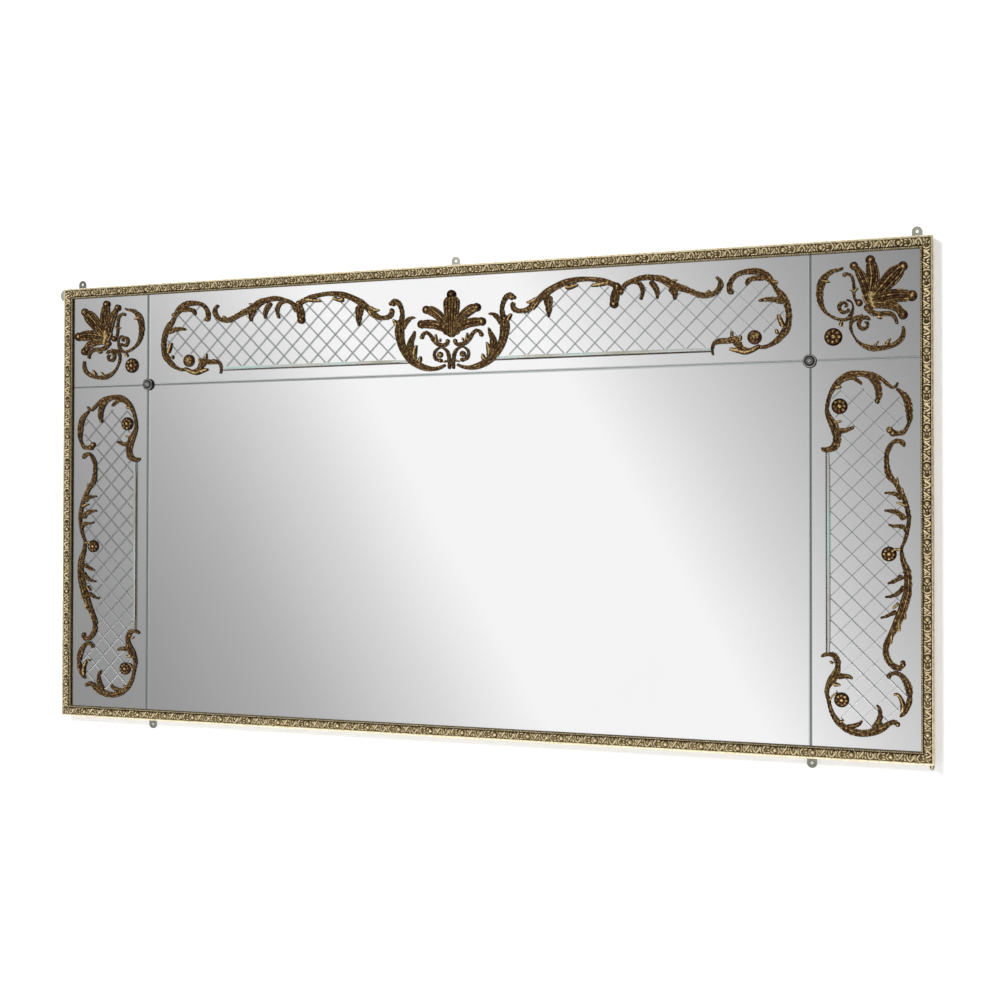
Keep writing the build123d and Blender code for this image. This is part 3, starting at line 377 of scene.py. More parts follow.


# The dark end of each ramp is patina with painted shade in the hollows, and the bright end is painted
# highlight on the ridges; on the gilding the noise breaks these into painted glints.
pressed_brass = metal("pressed_brass", [
    (0.0, (0.028, 0.018, 0.008)), (0.28, (0.095, 0.064, 0.028)),
    (0.60, (0.38, 0.29, 0.145)), (0.85, (0.66, 0.55, 0.34)), (1.0, (0.93, 0.82, 0.58)),
], (0.22, 0.42), scale=260.0, amount=0.9)
gilding = metal("gilding", [
    (0.0, (0.016, 0.009, 0.005)), (0.28, (0.065, 0.028, 0.014)), (0.48, (0.095, 0.054, 0.024)),
    (0.68, (0.25, 0.16, 0.062)), (0.92, (0.78, 0.57, 0.25)),
], (0.26, 0.50), scale=230.0, amount=1.7)
dark_brass = metal("dark_brass", [
    (0.0, (0.016, 0.016, 0.016)), (0.5, (0.11, 0.107, 0.10)), (1.0, (0.62, 0.60, 0.57)),
], (0.14, 0.30), ridge="depth", scale=220.0, amount=0.5)
steel = metal("steel", [
    (0.0, (0.10, 0.09, 0.08)), (0.5, (0.36, 0.35, 0.33)), (1.0, (0.55, 0.55, 0.53)),
], (0.3, 0.5), ridge=0.55, scale=120.0, amount=0.9)
pale_plate = metal("pale_plate", [
    (0.0, (0.30, 0.29, 0.22)), (0.5, (0.56, 0.56, 0.48)), (1.0, (0.72, 0.70, 0.70)),
], (0.35, 0.5), ridge=0.55, scale=110.0, amount=0.9)
dull_plate = metal("dull_plate", [
    (0.0, (0.12, 0.12, 0.095)), (0.5, (0.26, 0.26, 0.22)), (1.0, (0.42, 0.41, 0.36)),
], (0.4, 0.6), ridge=0.5, scale=110.0, amount=0.9)
print("metals made")


# %% Wood, felt and rubber
def wood(name, dark, light, stretch):
    """Grain that runs along one axis: the axis with the smallest stretch."""
    material, tree, out = new_material(name)
    coords = tree.nodes.new("ShaderNodeTexCoord")
    mapping = tree.nodes.new("ShaderNodeMapping")
    mapping.inputs["Scale"].default_value = stretch
    tree.links.new(coords.outputs["Object"], mapping.inputs["Vector"])
    grain = tree.nodes.new("ShaderNodeGroup")
    grain.node_tree = GRAIN
    tree.links.new(mapping.outputs[0], grain.inputs["Vector"])
    middle = tuple((a + b) / 2 for a, b in zip(dark, light))
    colour = ramp(tree, grain.outputs["Value"], [(0.36, dark), (0.5, middle), (0.62, light)])
    shader = tree.nodes.new("ShaderNodeBsdfPrincipled")
    shader.inputs["Roughness"].default_value = 0.7
    tree.links.new(colour, shader.inputs["Base Color"])
    relief = tree.nodes.new("ShaderNodeBump")
    relief.inputs["Distance"].default_value = 0.0004
    tree.links.new(grain.outputs["Pores"], relief.inputs["Height"])
    tree.links.new(relief.outputs[0], shader.inputs["Normal"])
    tree.links.new(shader.outputs[0], out.inputs["Surface"])
    return material


def soft(name, dark, light, scale, bump):
    """Felt fibres or rubber skin."""
    material, tree, out = new_material(name)
    coords = tree.nodes.new("ShaderNodeTexCoord")
    noise = tree.nodes.new("ShaderNodeTexNoise")
    noise.inputs["Scale"].default_value = scale
    noise.inputs["Detail"].default_value = 8.0
    tree.links.new(coords.outputs["Object"], noise.inputs["Vector"])
    shader = tree.nodes.new("ShaderNodeBsdfPrincipled")
    shader.inputs["Roughness"].default_value = 0.9
    colour = ramp(tree, noise.outputs["Fac"], [(0.35, dark), (0.65, light)])
    tree.links.new(colour, shader.inputs["Base Color"])
    relief = tree.nodes.new("ShaderNodeBump")
    relief.inputs["Distance"].default_value = bump
    tree.links.new(noise.outputs["Fac"], relief.inputs["Height"])
    tree.links.new(relief.outputs[0], shader.inputs["Normal"])
    tree.links.new(shader.outputs[0], out.inputs["Surface"])
    return material


PINE_DARK, PINE_LIGHT = (0.36, 0.20, 0.09), (0.62, 0.42, 0.22)
pine_along_x = wood("pine_along_x", PINE_DARK, PINE_LIGHT, (0.06, 1.0, 1.0))
pine_along_z = wood("pine_along_z", PINE_DARK, PINE_LIGHT, (1.0, 1.0, 0.06))
beech = wood("beech", (0.42, 0.26, 0.14), (0.60, 0.42, 0.26), (0.3, 1.0, 1.0))
plywood = wood("plywood", (0.40, 0.25, 0.13), (0.56, 0.40, 0.23), (0.04, 5.0, 1.0))
felt = soft("felt", (0.05, 0.07, 0.05), (0.12, 0.15, 0.11), 900.0, 0.0006)
rubber = soft("rubber", (0.012, 0.012, 0.012), (0.03, 0.03, 0.03), 500.0, 0.0002)
print("woods, felt and rubber made")

# %% [markdown]
# The glass is a real solid with the bevels and the wheel cuts in it, so clear glass with a sheet of
# silver behind gives the doubled edges and the glints. Faces that don't lie flat are found by their
# normal. The wheel cuts among them are made less smooth, and cuts, bevels and edges are tinted
# darker than clear glass, because that is how they look in the photograph. That darker tint is
# painted shade that dims what they reflect; the teal of the edges is the glass's own green.

# %% Glass of the panes
glass, tree, out = new_material("mirror_glass")
shader = tree.nodes.new("ShaderNodeBsdfPrincipled")
shader.inputs["Transmission Weight"].default_value = 1.0
shader.inputs["IOR"].default_value = 1.52
shape = tree.nodes.new("ShaderNodeNewGeometry")
split = tree.nodes.new("ShaderNodeSeparateXYZ")
tree.links.new(shape.outputs["True Normal"], split.inputs[0])
facing = math_node(tree, "ABSOLUTE", split.outputs["Y"])
cut = math_node(tree, "MULTIPLY", math_node(tree, "LESS_THAN", facing, 0.93),
                math_node(tree, "GREATER_THAN", facing, 0.5))
tree.links.new(math_node(tree, "MULTIPLY", cut, 0.16), shader.inputs["Roughness"])
# Darker tints on cuts, bevels and edges: painted shade that dims their reflections.
tree.links.new(ramp(tree, facing, [
    (0.0, (0.03, 0.07, 0.065)), (0.5, (0.36, 0.38, 0.37)), (0.93, (0.50, 0.54, 0.53)),
    (0.985, (0.985, 0.99, 0.987)),
], "CONSTANT"), shader.inputs["Base Color"])
tree.links.new(shader.outputs[0], out.inputs["Surface"])

silver, tree, out = new_material("silvering")
shader = tree.nodes.new("ShaderNodeBsdfPrincipled")
shader.inputs["Metallic"].default_value = 1.0
shader.inputs["Roughness"].default_value = 0.0
coords = tree.nodes.new("ShaderNodeTexCoord")
clouds = tree.nodes.new("ShaderNodeTexNoise")
clouds.inputs["Scale"].default_value = 3.0
tree.links.new(coords.outputs["Object"], clouds.inputs["Vector"])
tree.links.new(ramp(tree, clouds.outputs["Fac"], [(0.2, grey(0.90)), (0.8, grey(0.925))]),
               shader.inputs["Base Color"])
tree.links.new(shader.outputs[0], out.inputs["Surface"])


# %% Silvering: the back faces of each pane, copied and made a thin sheet
def finish_piece(bm, name, material, smooth_angle=None):
    """Turn a bmesh into a piece that rides on the mirror."""
    mesh = bpy.data.meshes.new(name)
    bm.to_mesh(mesh)
    bm.free()
    mesh.materials.append(material)
    if smooth_angle:
        mesh.polygons.foreach_set("use_smooth", [True] * len(mesh.polygons))
        mesh.set_sharp_from_angle(angle=math.radians(smooth_angle))
    piece = bpy.data.objects.new(name, mesh)
    scene.collection.objects.link(piece)
    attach(piece, "root")
    return piece


PANES = ["centre", "top", "side_left", "side_right", "corner_left", "corner_right"]
PANE_BACK = -0.0245
SILVER_FORWARD = 0.00010
SILVER_THICKNESS = 0.00005
for pane in PANES:
    bm = bmesh.new()
    bm.from_mesh(nodes[f"pane_{pane}"].data)
    bmesh.ops.remove_doubles(bm, verts=bm.verts, dist=1e-6)
    in_front = [f for f in bm.faces if any(abs(v.co.y - PANE_BACK) > 1e-5 for v in f.verts)]
    bmesh.ops.delete(bm, geom=in_front, context="FACES")
    bmesh.ops.translate(bm, vec=(0, -SILVER_FORWARD, 0), verts=bm.verts)
    sheet = bmesh.ops.extrude_face_region(bm, geom=bm.faces[:])
    moved = [g for g in sheet["geom"] if isinstance(g, bmesh.types.BMVert)]
    bmesh.ops.translate(bm, vec=(0, SILVER_THICKNESS, 0), verts=moved)
    bmesh.ops.recalc_face_normals(bm, faces=bm.faces)
    finish_piece(bm, f"silvering_{pane}", silver)
print("silvered panes:", len(PANES))

# %% [markdown]
# Scrollwork and embossing are the same kind of shape: a fluted strip that swells and narrows along
# a line. A ring with the strip's section is extruded from place to place along the line, and each
# ring is scaled by the strip's width there. The ends close to a rounded tip.

# %% Fluted strips
# Sections as (across, up, ridge value): the ridge value paints highlights on the ribs and shade in the
# flutes.
FLUTED = [
    (-1.0, 0.0, 0.0), (-0.90, 0.52, 0.75), (-0.76, 0.40, 0.10), (-0.58, 0.84, 0.70),
    (-0.40, 0.60, 0.10), (-0.22, 0.95, 0.55), (0.0, 0.75, 0.20), (0.22, 0.95, 0.75),
    (0.40, 0.60, 0.10), (0.58, 0.84, 0.60), (0.76, 0.40, 0.10), (0.90, 0.52, 0.80), (1.0, 0.0, 0.0),
]
PLAIN = [(-1.0, 0.0, 0.0), (-0.7, 0.62, 0.35), (0.0, 1.0, 1.0), (0.7, 0.62, 0.35), (1.0, 0.0, 0.0)]


def rounded(points, step):
    """Points along a smooth line through the given ones, about one step apart."""
    ends = [points[0]] + points + [points[-1]]
    run = []
    for a, b, c, d in zip(ends, ends[1:], ends[2:], ends[3:]):
        count = max(2, round(math.hypot(c[0] - b[0], c[1] - b[1]) / step))
        for k in range(count):
            t = k / count
            run.append([
                0.5 * (2 * q + (r - p) * t + (2 * p - 5 * q + 4 * r - s) * t * t
                       + (3 * q - p - 3 * r + s) * t ** 3)
                for p, q, r, s in zip(a, b, c, d)
            ])
    return run + [list(points[-1])]


def ring_places(points, base_y, rise, step, lobes):
    """For each ring, the matrix that carries the section there, all in millimetres."""
    run = rounded(points, step)
    travelled = [0.0]
    for (xa, za, _), (xb, zb, _) in zip(run, run[1:]):
        travelled.append(travelled[-1] + math.hypot(xb - xa, zb - za))
    total = travelled[-1]
    places = []
    for i, (x, z, half) in enumerate(run):
        xa, za, _ = run[max(i - 1, 0)]
        xb, zb, _ = run[min(i + 1, len(run) - 1)]
        turn = math.atan2(zb - za, xb - xa)
        from_end = min(travelled[i], total - travelled[i]) + 0.25
        tip = max(min(half * 0.8, total / 3), 0.5)
        closing = math.sqrt(max(0.02, 1 - (1 - from_end / tip) ** 2)) if from_end < tip else 1.0
        wave = math.sin(travelled[i] * 0.42 + x) + 0.6 * math.sin(travelled[i] * 0.93 + z)
        lobed = 1.0 + (lobes * wave if half < 8.5 else 0.0)
        across = max(half * closing * lobed, 0.15)
        up = rise(half) * closing
        along = Vector((math.cos(turn), 0, math.sin(turn)))
        side = Vector((-math.sin(turn), 0, math.cos(turn)))
        matrix = Matrix((
            (side.x * across, 0.0, along.x, x),
            (0.0, -up, 0.0, base_y),
            (side.z * across, 0.0, along.z, z),
            (0.0, 0.0, 0.0, 1.0),
        ))
        places.append(matrix)
    return places


def strip(target, points, base_y, rise, section=FLUTED, step=2.0, lobes=0.0):
    """Add one strip to the target bmesh."""
    bm = bmesh.new()
    ridge = bm.verts.layers.float.new("ridge")
    ring = []
    for across, up, high in section:
        vert = bm.verts.new((across, up, 0))
        vert[ridge] = high
        ring.append(vert)
    edges = [bm.edges.new(pair) for pair in zip(ring, ring[1:] + ring[:1])]
    first = edges
    flat = [v.co.copy() for v in ring]
    places = ring_places(points, base_y, rise, step, lobes)
    for number, place in enumerate(places):
        if number:
            grown = bmesh.ops.extrude_edge_only(bm, edges=edges)["geom"]
            fresh = [g for g in grown if isinstance(g, bmesh.types.BMVert)]
            known = set(fresh)
            edges = [
                g for g in grown
                if isinstance(g, bmesh.types.BMEdge) and g.verts[0] in known and g.verts[1] in known
            ]
            ring = fresh
            move = place @ places[number - 1].inverted()
            for vert in ring:
                vert.co = move @ vert.co
        else:
            for vert, co in zip(ring, flat):
                vert.co = place @ co
    bmesh.ops.edgeloop_fill(bm, edges=first)
    bmesh.ops.edgeloop_fill(bm, edges=edges)
    bmesh.ops.recalc_face_normals(bm, faces=bm.faces)
    bmesh.ops.scale(bm, vec=(MM, MM, MM), verts=bm.verts)
    merge_in(target, bm)


def merge_in(target, bm):
    """Move one small bmesh into a big one."""
    mesh = bpy.data.meshes.new("part")
    bm.to_mesh(mesh)
    bm.free()
    target.from_mesh(mesh)
    bpy.data.meshes.remove(mesh)


def knob(target, x, z, radius, base_y, height, around=10, high=0.8):
    """A flattened ball, with a painted highlight on its crown and painted shade at its foot."""
    bm = bmesh.new()
    ridge = bm.verts.layers.float.new("ridge")
    bmesh.ops.create_uvsphere(bm, u_segments=around, v_segments=6, radius=1.0)
    for vert in bm.verts:
        vert[ridge] = high * max(0.0, vert.co.z) ** 1.5
    bmesh.ops.transform(bm, matrix=Matrix.Rotation(math.pi / 2, 4, "X"), verts=bm.verts)
    bmesh.ops.scale(bm, vec=(radius, height, radius), verts=bm.verts)
    bmesh.ops.translate(bm, vec=(x, base_y, z), verts=bm.verts)
    bmesh.ops.scale(bm, vec=(MM, MM, MM), verts=bm.verts)
    merge_in(target, bm)


def flower(target, x, z, radius, base_y, petals=8):
    """A round button: a dished rim, petals round it and a raised heart."""
    # The ridge value of each part paints its highlight, brightest on the heart and dimmest on the base.
    knob(target, x, z, radius, base_y, 1.2, 20, 0.35)
    for k in range(petals):
        angle = 2 * math.pi * k / petals
        px = x + radius * 0.62 * math.cos(angle)
        pz = z + radius * 0.62 * math.sin(angle)
        knob(target, px, pz, radius * 0.27, base_y - 0.5, 2.0, 8, 0.75)
    knob(target, x, z, radius * 0.30, base_y - 0.8, 2.4, 10, 0.95)


# %% [markdown]
# The drawings of the scrollwork: each strip is a run of (x, z, half width) in millimetres, drawn
# for the right half and mirrored for the left. Leaves and barbs lie over the long strips.

# %% Drawing of the top ornament
TOP_STRIPS = [
    [(0, 364, 10), (0, 395, 13), (0, 418, 17), (0, 434, 19), (0, 448, 18), (0, 459, 9)],
    [(8, 370, 7), (13, 392, 8), (24, 407, 10), (36, 418, 11), (48, 425, 11), (60, 428, 8)],
    [(9, 370, 7), (15, 382, 8), (27, 389, 10), (41, 394, 10), (57, 396, 10), (72, 396, 8)],
    [(7, 358, 4), (11, 350, 4), (20, 347, 5), (32, 350, 5), (43, 360, 5), (51, 371, 4),
     (60, 377, 4), (68, 373, 4), (71, 367, 4)],
    [(5, 293, 3), (5, 312, 4), (8, 329, 4), (15, 338, 3), (27, 342, 2), (38, 335, 3),
     (41, 326, 3), (36, 316, 4), (26, 313, 4)],
    [(14, 303, 3), (28, 297, 4), (45, 295, 5), (63, 298, 7), (80, 305, 8), (96, 316, 9),
     (109, 331, 9), (119, 348, 9), (124, 366, 10), (126, 384, 11), (126, 400, 7)],
    [(124, 396, 6), (119, 419, 5), (122, 435, 5), (129, 447, 6), (139, 451, 6), (147, 446, 4)],
    [(120, 388, 7), (109, 403, 6), (99, 411, 4), (88, 412, 2)],
    [(88, 316, 6), (93, 328, 9), (99, 342, 8), (98, 357, 7), (92, 370, 5), (88, 382, 2)],
    [(147, 435, 4), (144, 427, 5), (150, 418, 6), (162, 415, 5), (178, 417, 6), (193, 428, 7),
     (208, 442, 7), (223, 453, 8), (243, 464, 7), (264, 472, 7), (287, 476, 6), (308, 477, 5),
     (328, 475, 5), (348, 471, 6), (364, 465, 6), (380, 458, 6)],
    [(224, 446, 11), (226, 428, 9), (227, 411, 6), (226, 402, 3)],
    [(379, 458, 7), (376, 442, 9), (374, 430, 10), (373, 420, 8)],
    [(386, 438, 5), (391, 452, 5), (401, 462, 5), (415, 466, 5), (428, 461, 5), (435, 450, 5),
     (435, 438, 4), (432, 429, 3)],
    [(404, 464, 4), (422, 470, 5), (442, 473, 6), (462, 471, 6), (480, 466, 8), (494, 457, 9),
     (508, 450, 8), (522, 445, 7), (537, 439, 6), (552, 432, 6), (567, 428, 6), (582, 429, 5),
     (593, 435, 5), (601, 445, 6), (601, 456, 5), (595, 463, 3)],
    [(452, 464, 6), (462, 452, 6), (467, 440, 5), (467, 426, 2)],
    [(497, 452, 9), (502, 442, 8), (505, 432, 6), (504, 422, 2)],
    [(629, 431, 3), (622, 433, 6), (620, 443, 6), (623, 454, 5), (632, 465, 5), (644, 471, 5),
     (660, 473, 6), (677, 472, 7), (692, 465, 8), (704, 454, 7), (712, 442, 5), (719, 430, 6),
     (728, 420, 7), (736, 406, 7), (741, 389, 6), (742, 371, 6), (738, 353, 7), (729, 339, 7),
     (717, 327, 6), (704, 319, 4), (691, 315, 4), (678, 316, 3)],
    [(692, 456, 4), (677, 458, 5), (664, 457, 5), (657, 450, 4), (656, 444, 2)],
    [(730, 406, 6), (717, 411, 6), (704, 413, 5), (692, 413, 4), (680, 411, 2)],
    [(586, 302, 2), (584, 314, 3), (588, 326, 4), (601, 331, 6), (616, 331, 6), (629, 333, 8),
     (637, 325, 8), (646, 314, 6), (662, 309, 5), (680, 316, 4)],
]
TOP_SPRIGS = [
    [(36, 356, 4), (38, 373, 1.5)], [(28, 355, 3), (26, 363, 1)], [(11, 312, 3), (19, 309, 1.5)],
    [(132, 396, 5), (138, 406, 4), (142, 410, 1.5)],
    [(90, 321, 5), (89, 336, 6), (85, 346, 3), (83, 350, 1)],
    [(77, 311, 5), (75, 319, 4), (74, 325, 1.5)], [(176, 433, 2), (187, 434, 4), (200, 441, 4)],
    [(203, 433, 4), (195, 423, 3.5), (191, 416, 1.5)], [(265, 463, 6), (275, 461, 5), (293, 466, 3)],
    [(322, 461, 2), (337, 463, 4), (352, 465, 4.5), (364, 467, 4)], [(500, 462, 3), (510, 464, 1.5)],
    [(524, 447, 3), (530, 450, 2)], [(572, 432, 3), (580, 438, 3)], [(710, 449, 4), (720, 447, 3)],
    [(720, 381, 3), (724, 371, 5), (730, 356, 5)], [(716, 351, 3), (719, 341, 4)],
    [(620, 314, 3), (637, 310, 5), (652, 306, 5), (667, 310, 5), (682, 318, 4)],
    [(626, 336, 4), (624, 351, 2)], [(642, 331, 4), (644, 341, 2)],
]
TOP_KNOBS = [(27, 326, 7), (9, 356, 4.5), (141, 446, 6), (146, 428, 4), (672, 336, 15)]

# %% Drawing of the side ornament
SIDE_STRIPS = [
    [(807, 106, 2), (812, 102, 5), (823, 102, 6), (834, 109, 8), (838, 123, 8), (836, 137, 9),
     (831, 151, 8), (823, 166, 6), (818, 181, 4), (820, 198, 4), (825, 215, 4), (835, 232, 6),
     (849, 245, 7), (865, 252, 8), (882, 254, 6), (898, 251, 7), (911, 241, 8), (918, 226, 7),
     (920, 209, 6), (917, 197, 4)],
    [(894, 256, 3), (911, 251, 4), (925, 242, 4), (937, 231, 4), (946, 224, 3), (953, 227, 3),
     (957, 234, 2)],
    [(954, 222, 3), (968, 209, 6), (975, 196, 7), (978, 179, 7), (979, 161, 6), (976, 148, 4),
     (968, 135, 5), (957, 132, 5), (947, 133, 6)],
    [(850, 241, 3), (867, 246, 4), (880, 239, 4), (887, 232, 2)],
    [(840, 139, 6), (855, 140, 5), (868, 145, 3)],
    [(969, 105, 2), (966, 112, 5), (958, 117, 5), (947, 114, 4), (940, 104, 5), (935, 91, 5),
     (935, 71, 5), (937, 56, 6), (943, 43, 6), (953, 31, 5), (961, 16, 6), (969, 0, 5),
     (974, -18, 5), (977, -36, 5), (976, -53, 4), (973, -69, 4), (969, -83, 3), (963, -99, 3),
     (966, -122, 5), (973, -141, 7), (975, -161, 8), (975, -181, 8), (970, -201, 9),
     (964, -221, 9), (957, -239, 8), (950, -256, 7), (942, -271, 6), (935, -286, 6),
     (932, -301, 6), (935, -317, 6), (944, -330, 6), (957, -336, 6), (966, -329, 4)],
    [(964, 0, 5), (957, 8, 5), (947, 12, 4), (938, 13, 3), (930, 13, 2)],
    [(968, -41, 6), (962, -31, 6), (952, -25, 5), (942, -23, 4), (930, -22, 2)],
    [(973, -66, 4), (968, -56, 5), (957, -53, 4), (947, -53, 3), (938, -50, 2)],
    [(965, -152, 6), (957, -159, 4), (947, -164, 4), (936, -168, 2)],
    [(968, -173, 6), (960, -183, 5), (950, -191, 4), (940, -194, 3), (931, -195, 2)],
    [(953, -223, 5), (942, -229, 4), (932, -234, 3), (922, -237, 2)],
    [(936, -357, 5), (941, -350, 4), (950, -346, 4), (961, -350, 5), (970, -361, 6),
     (976, -376, 7), (978, -393, 5), (975, -409, 6), (968, -423, 5), (959, -433, 2)],
    [(806, -319, 2), (811, -315, 4), (821, -313, 4), (831, -315, 6), (838, -327, 6),
     (838, -341, 6), (833, -355, 8), (825, -367, 8), (818, -381, 5), (817, -393, 4),
     (820, -405, 4), (823, -419, 4), (829, -435, 5), (841, -451, 6), (858, -463, 7),
     (878, -469, 7), (898, -468, 7), (915, -462, 8), (928, -455, 7), (939, -447, 5),
     (948, -444, 5), (955, -448, 4)],
    [(838, -358, 6), (851, -356, 5), (861, -357, 4), (868, -361, 2)],
    [(853, -459, 5), (868, -456, 5), (880, -451, 4), (886, -444, 2)],
    [(908, -459, 6), (917, -446, 6), (921, -433, 5), (920, -419, 3), (914, -411, 2)],
]
SIDE_SPRIGS = [
    [(978, 191, 3), (984, 185, 1.5)], [(834, 227, 4), (847, 229, 3)], [(832, 156, 3), (847, 159, 2)],
    [(962, -100, 3), (947, -100, 3)], [(956, 31, 3), (955, 45, 1.5)], [(966, 11, 3), (964, 23, 2)],
    [(970, -12, 4), (962, -8, 3), (953, -6, 1.5)], [(957, -206, 3), (950, -214, 3), (945, -218, 1)],
    [(968, -226, 4), (970, -239, 2)], [(956, -241, 5), (959, -263, 2)], [(944, -269, 4), (942, -289, 2)],
    [(947, -389, 2), (955, -389, 3), (962, -399, 4), (965, -411, 5), (963, -423, 4)],
    [(830, -373, 5), (840, -374, 3), (844, -375, 1)], [(830, -331, 3), (822, -327, 1.5)],
    [(822, -406, 2), (829, -396, 2), (837, -391, 2)], [(842, -448, 3), (850, -446, 1.5)],
]
SIDE_FLOWERS = [(843, 189, 16), (939, -109, 15), (846, -404, 15)]
SIDE_KNOBS = [(941, 139, 7), (965, -325, 5)]

# %% Drawing of the corner ornament
CORNER_STRIPS = [
    [(851, 470, 2), (844, 466, 3), (831, 464, 4), (818, 456, 6), (808, 441, 7), (804, 421, 7),
     (806, 401, 6), (813, 385, 4), (823, 375, 3), (837, 367, 3), (849, 364, 3), (860, 366, 4),
     (867, 376, 4), (870, 389, 2), (866, 400, 2), (857, 404, 2)],
    [(852, 457, 3), (861, 456, 3), (868, 450, 3), (871, 439, 3), (872, 426, 3), (872, 413, 3),
     (875, 403, 3), (882, 397, 6)],
    [(899, 408, 9), (896, 424, 10), (891, 440, 10), (884, 455, 9), (878, 465, 7), (872, 472, 7)],
    [(902, 402, 11), (907, 429, 12), (909, 449, 13), (907, 467, 12), (904, 482, 8)],
    [(905, 400, 12), (926, 424, 13), (945, 445, 16), (957, 457, 14), (967, 466, 8)],
    [(905, 400, 12), (935, 406, 14), (957, 408, 13), (972, 407, 12), (984, 406, 9)],
    [(906, 394, 9), (931, 392, 9), (950, 387, 9), (960, 379, 8), (967, 369, 8)],
    [(899, 386, 6), (906, 377, 6), (918, 373, 5), (933, 373, 5), (945, 371, 5), (952, 363, 4),
     (955, 354, 3)],
    [(865, 350, 3), (867, 359, 4), (875, 366, 5), (887, 370, 3)],
    [(865, 353, 3), (866, 343, 3), (871, 331, 2), (880, 318, 3), (893, 309, 5), (908, 304, 6),
     (925, 304, 5), (941, 307, 5), (955, 313, 5), (965, 323, 5), (968, 336, 4), (967, 346, 2)],
    [(903, 361, 3), (898, 366, 4), (889, 366, 4), (882, 359, 4), (882, 349, 4), (890, 344, 4),
     (898, 348, 3), (898, 356, 3), (892, 357, 2)],
    [(862, 386, 3), (858, 380, 3), (849, 380, 4), (843, 387, 4), (845, 396, 4), (853, 399, 3),
     (858, 393, 3), (853, 390, 2)],
]
CORNER_SPRIGS = [
    [(808, 446, 3), (817, 444, 3), (825, 442, 1)], [(848, 361, 3.5), (845, 351, 4.5)],
    [(872, 421, 1.8), (864, 424, 1.5)], [(872, 419, 2), (880, 428, 2)], [(917, 367, 3), (927, 365, 4)],
    [(910, 307, 3), (920, 318, 1)], [(934, 309, 5), (943, 323, 1.5)],
    [(889, 411, 2), (896, 396, 2.5), (909, 388, 2)], [(912, 385, 8), (905, 404, 12), (908, 420, 7)],
]
CORNER_FLOWERS = [(831, 330, 18)]
CORNER_KNOBS = [(872, 472, 7), (853, 455, 4), (882, 397, 6), (898, 386, 7)]


# %% Build the gilded relief
def scroll_rise(half):
    """How far a strip stands off the glass."""
    return min(3.2, 0.9 + 0.24 * half)


def rolled_tip(target, x, z, half):
    """The curled end of a leaf: a round roll in painted shade, with a small raised heart in painted
    highlight.
    """
    knob(target, x, z, half * 1.2, GLASS_Y - 0.6, 2.4, 14, 0.5)
    knob(target, x, z, half * 0.5, GLASS_Y - 2.2, 1.3, 8, 1.0)


def gilded(target, strips, sprigs, flowers, knobs):
    """One half of an ornament."""
    for points in strips:
        strip(target, points, GLASS_Y + 0.1, scroll_rise, lobes=0.10)
        x, z, half = points[-1]
        if half >= 3:
            rolled_tip(target, x, z, half)
    for points in sprigs:
        strip(target, points, GLASS_Y - 0.4, scroll_rise, PLAIN, 1.5)
    for x, z, radius in flowers:
        flower(target, x, z, radius, GLASS_Y)
    for x, z, radius in knobs:
        knob(target, x, z, radius, GLASS_Y, min(3.0, radius * 0.45), 14, 0.7)


def mirrored(bm):
    """Turn the drawing over to the left half, with its faces outwards again."""
    bmesh.ops.scale(bm, vec=(-1, 1, 1), verts=bm.verts)
    bmesh.ops.reverse_faces(bm, faces=bm.faces)


BEAD_PITCH = 3.6


def beaded_line(target, a, b):
    """The thin line of beads beside each straight border. It may be only a reflection."""
    (xa, za), (xb, zb) = a, b
    count = round(math.hypot(xb - xa, zb - za) / BEAD_PITCH)
    for k in range(count + 1):
        t = k / count
        knob(target, xa + (xb - xa) * t, za + (zb - za) * t, 1.7, GLASS_Y, 1.1, 6, 0.45)


RIGHT = {
    "top": (TOP_STRIPS, TOP_SPRIGS, [], TOP_KNOBS, (103, 310.1), (579, 310.1)),
    "side": (SIDE_STRIPS, SIDE_SPRIGS, SIDE_FLOWERS, SIDE_KNOBS, (816.4, -312), (816.4, 95)),
    "corner": (CORNER_STRIPS, CORNER_SPRIGS, CORNER_FLOWERS, CORNER_KNOBS, None, None),
}
for part, (strips, sprigs, flowers, knobs, line_a, line_b) in RIGHT.items():
    right = bmesh.new()
    gilded(right, strips, sprigs, flowers, knobs)
    if line_a:
        beaded_line(right, line_a, line_b)
    left = right.copy()
    mirrored(left)
    if part == "top":
        merge_in(right, left)
        piece = finish_piece(right, "relief_top", gilding, 50)
        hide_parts("gilding_top")
        print("relief_top faces:", len(piece.data.polygons))
        continue
    for side, bm in (("right", right), ("left", left)):
        piece = finish_piece(bm, f"relief_{part}_{side}", gilding, 50)
        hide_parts(f"gilding_{part}_{side}")
        print(piece.name, "faces:", len(piece.data.polygons))

# %% [markdown]
# The frame's moulding is sheet brass: a plain fillet outside, an embossed band, and a row of pearls
# beside the glass. The band's real pattern is too blurred in the photograph to read, so its bosses
# and leaves are made up, at about the right size. One repeat is built along the top edge and copied,
# and each bar is cut at 45 degrees at its two ends.

# %% One bar of the moulding
REPEAT = 76.0
PEARL_PITCH = 3.4
PEARL_INSET = 23.0
# The sheet's section as (in from the outer edge, y, ridge value): a painted highlight on the fillet,
# patina with painted shade in the band.
SECTION = [
    (0.0, -2.5, 0.6), (0.0, -31.4, 0.8), (0.3, -32.2, 1.0), (1.0, -32.5, 1.0), (4.0, -32.5, 0.95),
    (4.5, -32.2, 0.6), (4.8, -31.95, 0.1), (7.0, -32.3, 0.3), (12.7, -33.2, 0.4),
    (18.5, -32.3, 0.3), (20.8, -31.95, 0.05), (24.5, -31.95, 0.2), (25.0, -31.6, 0.6),
    (25.0, -29.8, 0.4), (16.0, -29.8, 0.2), (16.0, -31.7, 0.2), (0.8, -31.7, 0.2), (0.8, -2.5, 0.2),
]
